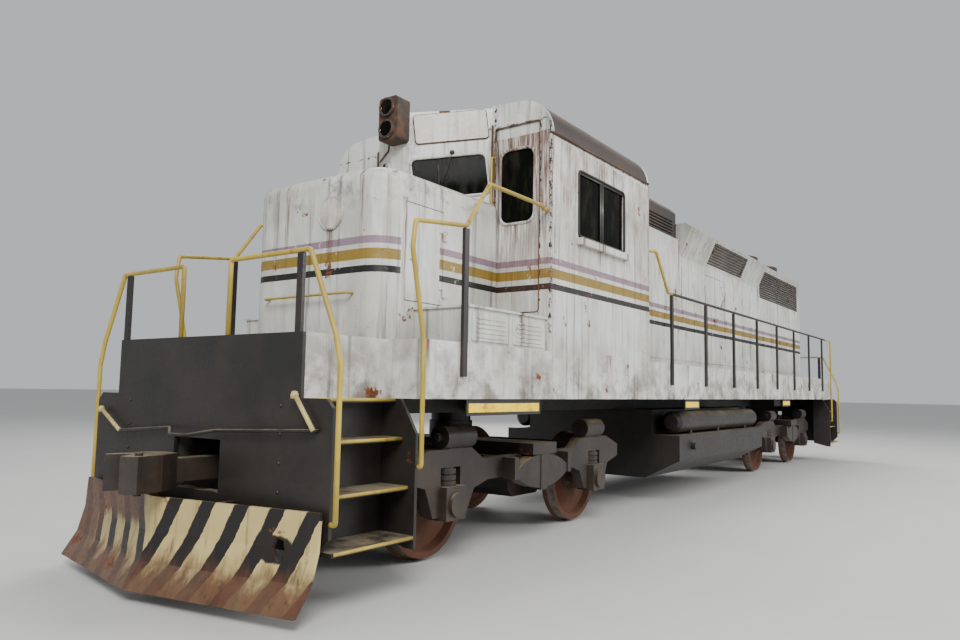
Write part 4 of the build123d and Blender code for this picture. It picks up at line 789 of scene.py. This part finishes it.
# %% Door seam, frames and panes
FRONT_Y, REAR_Y = 1.11, -1.17
seam = gasket((CAB_X + 0.001, 1.115, 3.285), *FORWARD_FACE, 0.546, 1.946, 0.03, 0, 0.006)
build("front_door_seam", [seam], rusty_steel, "body")
front_frame = gasket((5.582, FRONT_Y, PANE_Z), *FORWARD_FACE, 0.42, 0.78, 0.10, 0, 0.016)
build("front_door_gasket", [front_frame], finishes["white_paint"], "cab_front_door_body")
rear_frame = gasket((3.219, REAR_Y, PANE_Z), *REARWARD_FACE, 0.30, 0.71, 0.10, 0, 0.012)
build("rear_door_gasket", [rear_frame], rubber, "cab_rear_door_body")
for door, y, width, height, ahead, behind in (
        ("front", FRONT_Y, 0.40, 0.76, 5.5665, 5.5575), ("rear", REAR_Y, 0.29, 0.70, 3.2425, 3.2335)):
    panes = [plate((x, y, PANE_Z), *face, width, height, 0.002, 0.0005, 0.09)
             for x, face in ((ahead, FORWARD_FACE), (behind, REARWARD_FACE))]
    build(door + "_door_panes", panes, finishes["glass"], "cab_" + door + "_door_body")

# %% [markdown]
# ## Gutters and bolts
# Rain gutters over the cab sides rust first. Rows of bolt heads follow the real seams: down the
# cab corners, along the hood's foot and top, and along the sill. Each head is a few dozen faces,
# because there are hundreds of them.

# %% Gutters
GUTTER_Y = 1.534
DRAIN_X, DRAIN_Y = 5.62, 0.82
gutters = []
for side in (1, -1):
    gutters.append(tube([(3.24, side * GUTTER_Y, 4.13), (5.58, side * GUTTER_Y, 4.10)], 0.014, sides=8))
    gutters.append(tube([(DRAIN_X, side * DRAIN_Y, 4.30), (DRAIN_X, side * DRAIN_Y, 2.34)], 0.012, sides=8))
build("rain_gutters", gutters, rusty_steel, "body")


# %% Bolt rows
def row(start, end, pitch):
    """Evenly pitched places from start to end."""
    start, end = np.asarray(start, float), np.asarray(end, float)
    count = max(2, int(np.linalg.norm(end - start) / pitch) + 1)
    return start + np.linspace(0, 1, count)[:, None] * (end - start)


HOOD_SIDE = 0.915
NOSE_SIDE = 0.88
BOLT_ROWS = (
    # half width of the face, X and Z where the row starts, X and Z where it ends, pitch
    (CAB_SIDE, (3.29, 2.1), (3.29, 4.05), 0.15), (CAB_SIDE, (5.51, 2.1), (5.51, 4.05), 0.15),
    (CAB_SIDE, (3.40, 4.05), (5.40, 4.05), 0.2), (HOOD_SIDE, (0.62, 1.97), (3.14, 1.97), 0.22),
    (HOOD_SIDE, (-3.70, 1.97), (0.50, 1.97), 0.22), (HOOD_SIDE, (-7.20, 1.97), (-3.82, 1.97), 0.22),
    (HOOD_SIDE, (0.62, 3.88), (3.14, 3.88), 0.22), (HOOD_SIDE, (-7.20, 3.48), (-3.82, 3.48), 0.22),
    (NOSE_SIDE, (5.70, 3.30), (6.95, 3.30), 0.25), (CAB_SIDE, (-7.3, 1.88), (7.3, 1.88), 0.32),
)
bolts = []
for side in (1, -1):
    for half, (x0, z0), (x1, z1), pitch in BOLT_ROWS:
        places = row((x0, side * half, z0), (x1, side * half, z1), pitch)
        bolts += [dome(spot, (0, side, 0), 0.011, 0.008) for spot in places]
build("bolt_heads", bolts, finishes["white_paint"], "body")

# %% Pilot bolts
PILOT_X = 8.38
pilot_bolts = []
for end in (1, -1):
    for y in (-0.98, 0.98):
        places = row((end * PILOT_X, y, 1.4), (end * PILOT_X, y, 0.6), 0.16)
        pilot_bolts += [dome(spot, (end, 0, 0), 0.012, 0.009) for spot in places]
build("pilot_bolts", pilot_bolts, finishes["black_steel"], "body")

# %% [markdown]
# ## Steps and tape
# The steps' outer edges are yellow so that a foot finds them at night, and yellow reflective tape
# sits low on the sill.

# %% Step edges
STEP_ROWS = ((0.42, 1.500), (0.78, 1.440), (1.14, 1.370), (1.43, 1.290))
STEP_X = (7.55, 8.33)
edges = []
for end in (1, -1):
    for side in (1, -1):
        for z, reach in STEP_ROWS:
            ends = [(end * x, side * (reach + 0.004), z + 0.02) for x in STEP_X]
            edges.append(tube(ends, 0.013, sides=10))
build("step_edges", edges, finishes["yellow_paint"], "body")

# %% Reflective tape
APRON_SIDE = 1.494
TAPE_Z = 1.385
TAPES = ((5.75, 6.86), (1.40, 1.90), (-3.75, -3.25))
tapes = []
for side in (1, -1):
    for x0, x1 in TAPES:
        centre = ((x0 + x1) / 2, side * APRON_SIDE, TAPE_Z)
        tapes.append(plate(centre, *side_face(side), x1 - x0, 0.075, 0.003, 0.001))
build("reflective_tape", tapes, reflector, "body")

# %% [markdown]
# ## Lamps
# A domed lens closes each silvered bowl. The CAD model has the bowls, and the lens is a surface
# turned round its axis that bulges by (1 - r^2) times its depth.


# %% Lenses
def lens(centre, normal, radius, depth):
    """A disc turned about its normal, its face raised by depth (1 - r^2), its back flat."""
    centre, normal = np.asarray(centre, float), np.asarray(normal, float)
    across = np.cross(normal, UPRIGHT)
    up = -np.cross(across, normal)
    share = np.array([0, 0.25, 0.5, 0.7, 0.85, 0.95, 1.0, 1.0, 0])
    rise = np.concatenate([depth * (1 - share[:7] ** 2), [-0.006, -0.006]])
    angle = np.linspace(0, 2 * np.pi, 28, endpoint=False)[:, None]
    flat = np.stack([radius * share * np.cos(angle), radius * share * np.sin(angle)], axis=-1)
    return centre + flat[..., :1] * across + flat[..., 1:] * up + rise[:, None] * normal


FRONT_LAMPS_Z = (4.205, 4.435)
REAR_LAMPS_Y = (0.105, -0.105)
LENS_GAP = 0.002
LENS_DEPTH = 0.012
lamps = [((BOWL_X[0] + LENS_GAP, 0, z), (1, 0, 0), 0.080) for z in FRONT_LAMPS_Z]
lamps += [((BOWL_X[1] - LENS_GAP, y, 3.955), (-1, 0, 0), 0.076) for y in REAR_LAMPS_Y]
# The lenses share the dark glass, so their darkness is painted shade too.
build("lamp_lenses", [lens(*lamp, LENS_DEPTH) for lamp in lamps], finishes["glass"], "body")

# %% [markdown]
# ## Grab irons
# A grab iron is a round bar bent to a flat U and welded at both ends, so it is one tube along four
# corners.

# %% Grab irons
GRABS = (
    # start, end, and how far the bar stands off the face
    ((7.30, 0.55, 2.35), (7.30, -0.55, 2.35), (0.07, 0, 0)),
    ((5.60, 0.835, 3.95), (5.60, 0.835, 3.45), (0.05, 0, 0)),
    ((-7.45, 0.55, 2.95), (-7.45, -0.55, 2.95), (-0.07, 0, 0)),
    ((-7.45, 0.75, 3.35), (-7.45, 0.35, 3.35), (-0.07, 0, 0)),
)
grabs = []
for grab in GRABS:
    start, end, out = (np.asarray(corner, float) for corner in grab)
    grabs.append(tube([start, start + out, end + out, end], 0.011, 0.03, 10))
build("grab_irons", grabs, finishes["yellow_paint"], "body")

# %% [markdown]
# ## Corner rails
# The yellow rails are bent from one pipe each. The CAD model joins their runs in mitres, so here
# the same runs get the real round bends, in the same places, and stand for the CAD node.

# %% Corner rails
END_X, WELL_X, RAIL_Y, FOOT_Y, CAB_RAIL_Y = 8.365, 7.515, 1.545, 1.500, 1.49
ROUTES = [
    [(WELL_X, FOOT_Y, 0.955), (WELL_X, RAIL_Y, 0.955), (WELL_X, RAIL_Y, 1.90), (7.67, RAIL_Y, 2.60),
     (7.64, RAIL_Y, 2.81), (7.0, RAIL_Y, 2.885), (6.68, RAIL_Y, 3.31), (5.78, RAIL_Y, 3.31),
     (5.70, CAB_RAIL_Y, 3.31), (CAB_X, CAB_RAIL_Y, 3.31)],
    [(3.20, CAB_RAIL_Y, 3.31), (3.11, CAB_RAIL_Y, 3.31), (3.03, RAIL_Y, 3.31), (2.64, RAIL_Y, 2.83),
     (2.50, RAIL_Y, 2.83)],
    [(-WELL_X, FOOT_Y, 0.95), (-WELL_X, RAIL_Y, 0.95), (-WELL_X, RAIL_Y, 2.83), (-6.90, RAIL_Y, 2.83)],
]
for x in (END_X, -END_X):
    ROUTES.append([(x, 0.31, 1.92), (x, 0.31, 2.50), (x, 1.21, 2.50), (x, CAB_RAIL_Y, 1.90),
                   (x, RAIL_Y, 1.70), (x, RAIL_Y, 0.64), (x, FOOT_Y, 0.64)])
rails = [tube(np.array(route) * (1, side, 1), 0.019, 0.022, 14) for side in (1, -1) for route in ROUTES]
bent_rails = build("bent_rails", rails, finishes["yellow_paint"], "body")
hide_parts("corner_rails")

# %% [markdown]
# ## The blanked nose lamp and the boards
# The round blank on the nose, where a lamp once sat, is a painted disc in a rim. The blank number
# boards at both ends have thin rims too, which rust.

# %% Blank and board rims
BLANK = (7.3125, 0.25, 3.09)
BLANK_RADIUS = 0.150
angle = np.linspace(0, 2 * np.pi, 40, endpoint=False)
circle = BLANK_RADIUS * np.stack([0 * angle, np.cos(angle), np.sin(angle)], axis=-1)
rim = np.array(BLANK) - (0.0005, 0, 0) + circle
build("blank_rim", [tube(rim, 0.006, ring=True, sides=8)], finishes["white_paint"], "body")
disc = plate(BLANK, *FORWARD_FACE, 0.284, 0.284, 0.003, 0.001, 0.142)
build("blank_disc", [disc], finishes["number_blank"], "body")
board_rims = []
for side in (1, -1):
    middle, across, up = bay_axes(side)
    board_rims.append(gasket(middle + (0, 0, 4.275), across, up, 0.765, 0.305, 0.032, 0.008, 0.009))
    rear_board = (-7.459, side * 0.52, 3.955)
    board_rims.append(gasket(rear_board, *REARWARD_FACE, 0.505, 0.255, 0.02, 0.008, 0.008))
build("board_rims", board_rims, rusty_steel, "body")

# %% [markdown]
# ## Lifting rods
# A rod across each pilot lifts the coupler's pin from beside the locomotive, so that it can be
# uncoupled from a safe place. It is cranked round the coupler, with a cream handle at each end.

# %% Lifting rods and handles
ROD_X = 8.425
LEFT_FOOT, LEFT_TOP = (ROD_X, 1.37, 1.245), (ROD_X, 1.17, 1.485)
RIGHT_FOOT, RIGHT_TOP = (ROD_X, -1.05, 1.145), (ROD_X, -1.365, 1.32)
ROD = ((PILOT_X, *LEFT_FOOT[1:]), LEFT_FOOT, (ROD_X, 0.30, 1.20), (8.55, 0.10, 1.16),
       (8.55, -0.10, 1.16), (ROD_X, -0.30, 1.20), RIGHT_FOOT, (PILOT_X, *RIGHT_FOOT[1:]))
rods = []
handles = []
for end in (1, -1):
    turn = (end, end, 1.0)
    rods.append(tube(np.array(ROD) * turn, 0.013, 0.03, 10))
    for foot, top in ((LEFT_FOOT, LEFT_TOP), (RIGHT_FOOT, RIGHT_TOP)):
        handles.append(tube(np.array([foot, top]) * turn, 0.017, sides=10))
        handles.append(dome(np.array(top) * turn - (0, 0, 0.02), UPRIGHT, 0.028, 0.045, 12))
build("lifting_rods", rods, finishes["black_steel"], "body")
build("lifting_handles", handles, cream_paint, "body")

# %% [markdown]
# ## Draft sills
# The coupler's shank runs back between two plates that hang from the underframe's girders, and a
# carrier bar lies under it at the pilot. They hide what lies behind the pilot's window.

# %% Draft sills
sills = []
for end in (1, -1):
    for side in (1, -1):
        sills.append(plate((end * 8.075, side * 0.343, 0.955), *side_face(side), 0.59, 0.69, 0.014, 0.003))
    sills.append(plate((end * 8.30, 0, 0.70), (1, 0, 0), (0, 1, 0), 0.14, 0.69, 0.03, 0.004))
build("draft_sills", sills, finishes["truck_steel"], "body")

# %% [markdown]
# ## Seats
# Seen through the glass only, yet still cushions: foam under vinyl, thicker in its middle than at
# its rim. A cloth simulation could swell them, but a formula for the crown is enough behind dark
# glass and gives the same pads each time. Each seat stands on a steel pedestal.


# %% Cushions
def pad(centre, size, axes, crown):
    """A cushion: rounded outlines from rim to middle, each higher by crown (1 - s^4), both ways up."""
    across, up = (np.asarray(v, float) for v in axes)
    width, height, thick = size
    share = np.array([0, 0.35, 0.6, 0.8, 0.93, 1.0, 1.0, 0.93, 0.8, 0.6, 0.35, 0])
    rise = np.concatenate([thick / 2 + crown * (1 - share[:6] ** 4),
                           -thick / 2 - crown * (1 - share[6:] ** 4)])
    outline = rounded_outline(width, height, 0.09, 7)
    flat = outline[:, None, :] * share[None, :, None]
    return on_face(centre, across, up, flat, np.broadcast_to(rise, flat.shape[:2]))


SEAT_X, SEAT_FLOOR = 4.15, 2.283
seat_pads = []
pedestals = []
for y in (1.0, -1.15):
    seat_pads.append(pad((4.155, y, 2.725), (0.44, 0.44, 0.06), ((1, 0, 0), (0, 1, 0)), 0.018))
    seat_pads.append(pad((3.925, y, 3.05), (0.44, 0.52, 0.04), FORWARD_FACE, 0.015))
    pedestals.append(tube([(SEAT_X, y, SEAT_FLOOR + 0.002), (SEAT_X, y, 2.69)], 0.065, sides=20))
    pedestals.append(tube([(SEAT_X, y, SEAT_FLOOR), (SEAT_X, y, SEAT_FLOOR + 0.022)], 0.19, sides=28))
    pedestals.append(tube([(3.93, y, 2.72), (3.90, y, 2.90)], 0.018, sides=10))
pads = build("seat_pads", seat_pads, finishes["seat_cover"], "body")
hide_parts("seats")
build("seat_pedestals", pedestals, finishes["black_steel"], "body")

# %% [markdown]
# ## Floor, light and camera
# A pale floor under a wide soft sky, with four large lamps that leave no hard shadow. The camera
# stands at the photo's viewpoint, at eye height about five metres from the plow.

# %% Floor
bpy.ops.mesh.primitive_plane_add(size=400, location=(0, 0, 0))
floor = bpy.context.object
floor.name = "floor"
floor_material, floor_tree, floor_place = new_material("pale_floor")
floor_tone = add(floor_tree, "Mix", add(floor_tree, "TexNoise", floor_place, 0.6, 6, 0.6),
                 linear("#c9c8c4"), linear("#bdbcb8"), **COLOUR)
finish(floor_material, floor_tone, 0.8)
floor.data.materials.append(floor_material)
print("floor is", floor.dimensions.x, "m wide")

# %% Light
world = bpy.data.worlds.new("soft_sky")
bpy.context.scene.world = world
world.use_nodes = True
sky = world.node_tree.nodes["Background"].inputs
sky["Color"].default_value = linear("#dfe3e8")
sky["Strength"].default_value = 0.75


def soft_light(name, spot, aim, size, power):
    """A round area lamp of a size in metres and a power in watts, turned to its aim."""
    lamp = bpy.data.lights.new(name, "AREA")
    lamp.shape = "DISK"
    lamp.size = size
    lamp.energy = power
    made = bpy.data.objects.new(name, lamp)
    bpy.context.scene.collection.objects.link(made)
    made.location = spot
    made.rotation_euler = (Vector(aim) - Vector(spot)).to_track_quat("-Z", "Y").to_euler()
    print(name, power, "W")


soft_light("key_light", (16, 9, 11), (4, 0, 2.5), 7, 2600)
soft_light("side_light", (-4, 16, 9), (-2, 0, 2), 9, 2200)
soft_light("far_light", (-14, -12, 12), (-2, 0, 2), 9, 2000)
soft_light("top_light", (0, -4, 15), (0, 0, 3), 10, 1500)

# %% Camera
CAMERA_PLACE = (11.857, 5.201, 1.533)
YAW, PITCH, ROLL = math.radians(-144.17), math.radians(5.37), math.radians(0.97)
forward = Vector((math.cos(YAW) * math.cos(PITCH), math.sin(YAW) * math.cos(PITCH), math.sin(PITCH)))
level_right = forward.cross(Vector((0, 0, 1))).normalized()
level_up = level_right.cross(forward)
right = math.cos(ROLL) * level_right + math.sin(ROLL) * level_up
above = -math.sin(ROLL) * level_right + math.cos(ROLL) * level_up
lens_data = bpy.data.cameras.new("camera")
lens_data.lens = 28.05
lens_data.sensor_width = 36
lens_data.clip_end = 500
camera = bpy.data.objects.new("camera", lens_data)
bpy.context.scene.collection.objects.link(camera)
turned = Matrix((right, above, -forward)).transposed().to_4x4()
camera.matrix_world = Matrix.Translation(CAMERA_PLACE) @ turned
bpy.context.scene.camera = camera
print("camera at", CAMERA_PLACE)
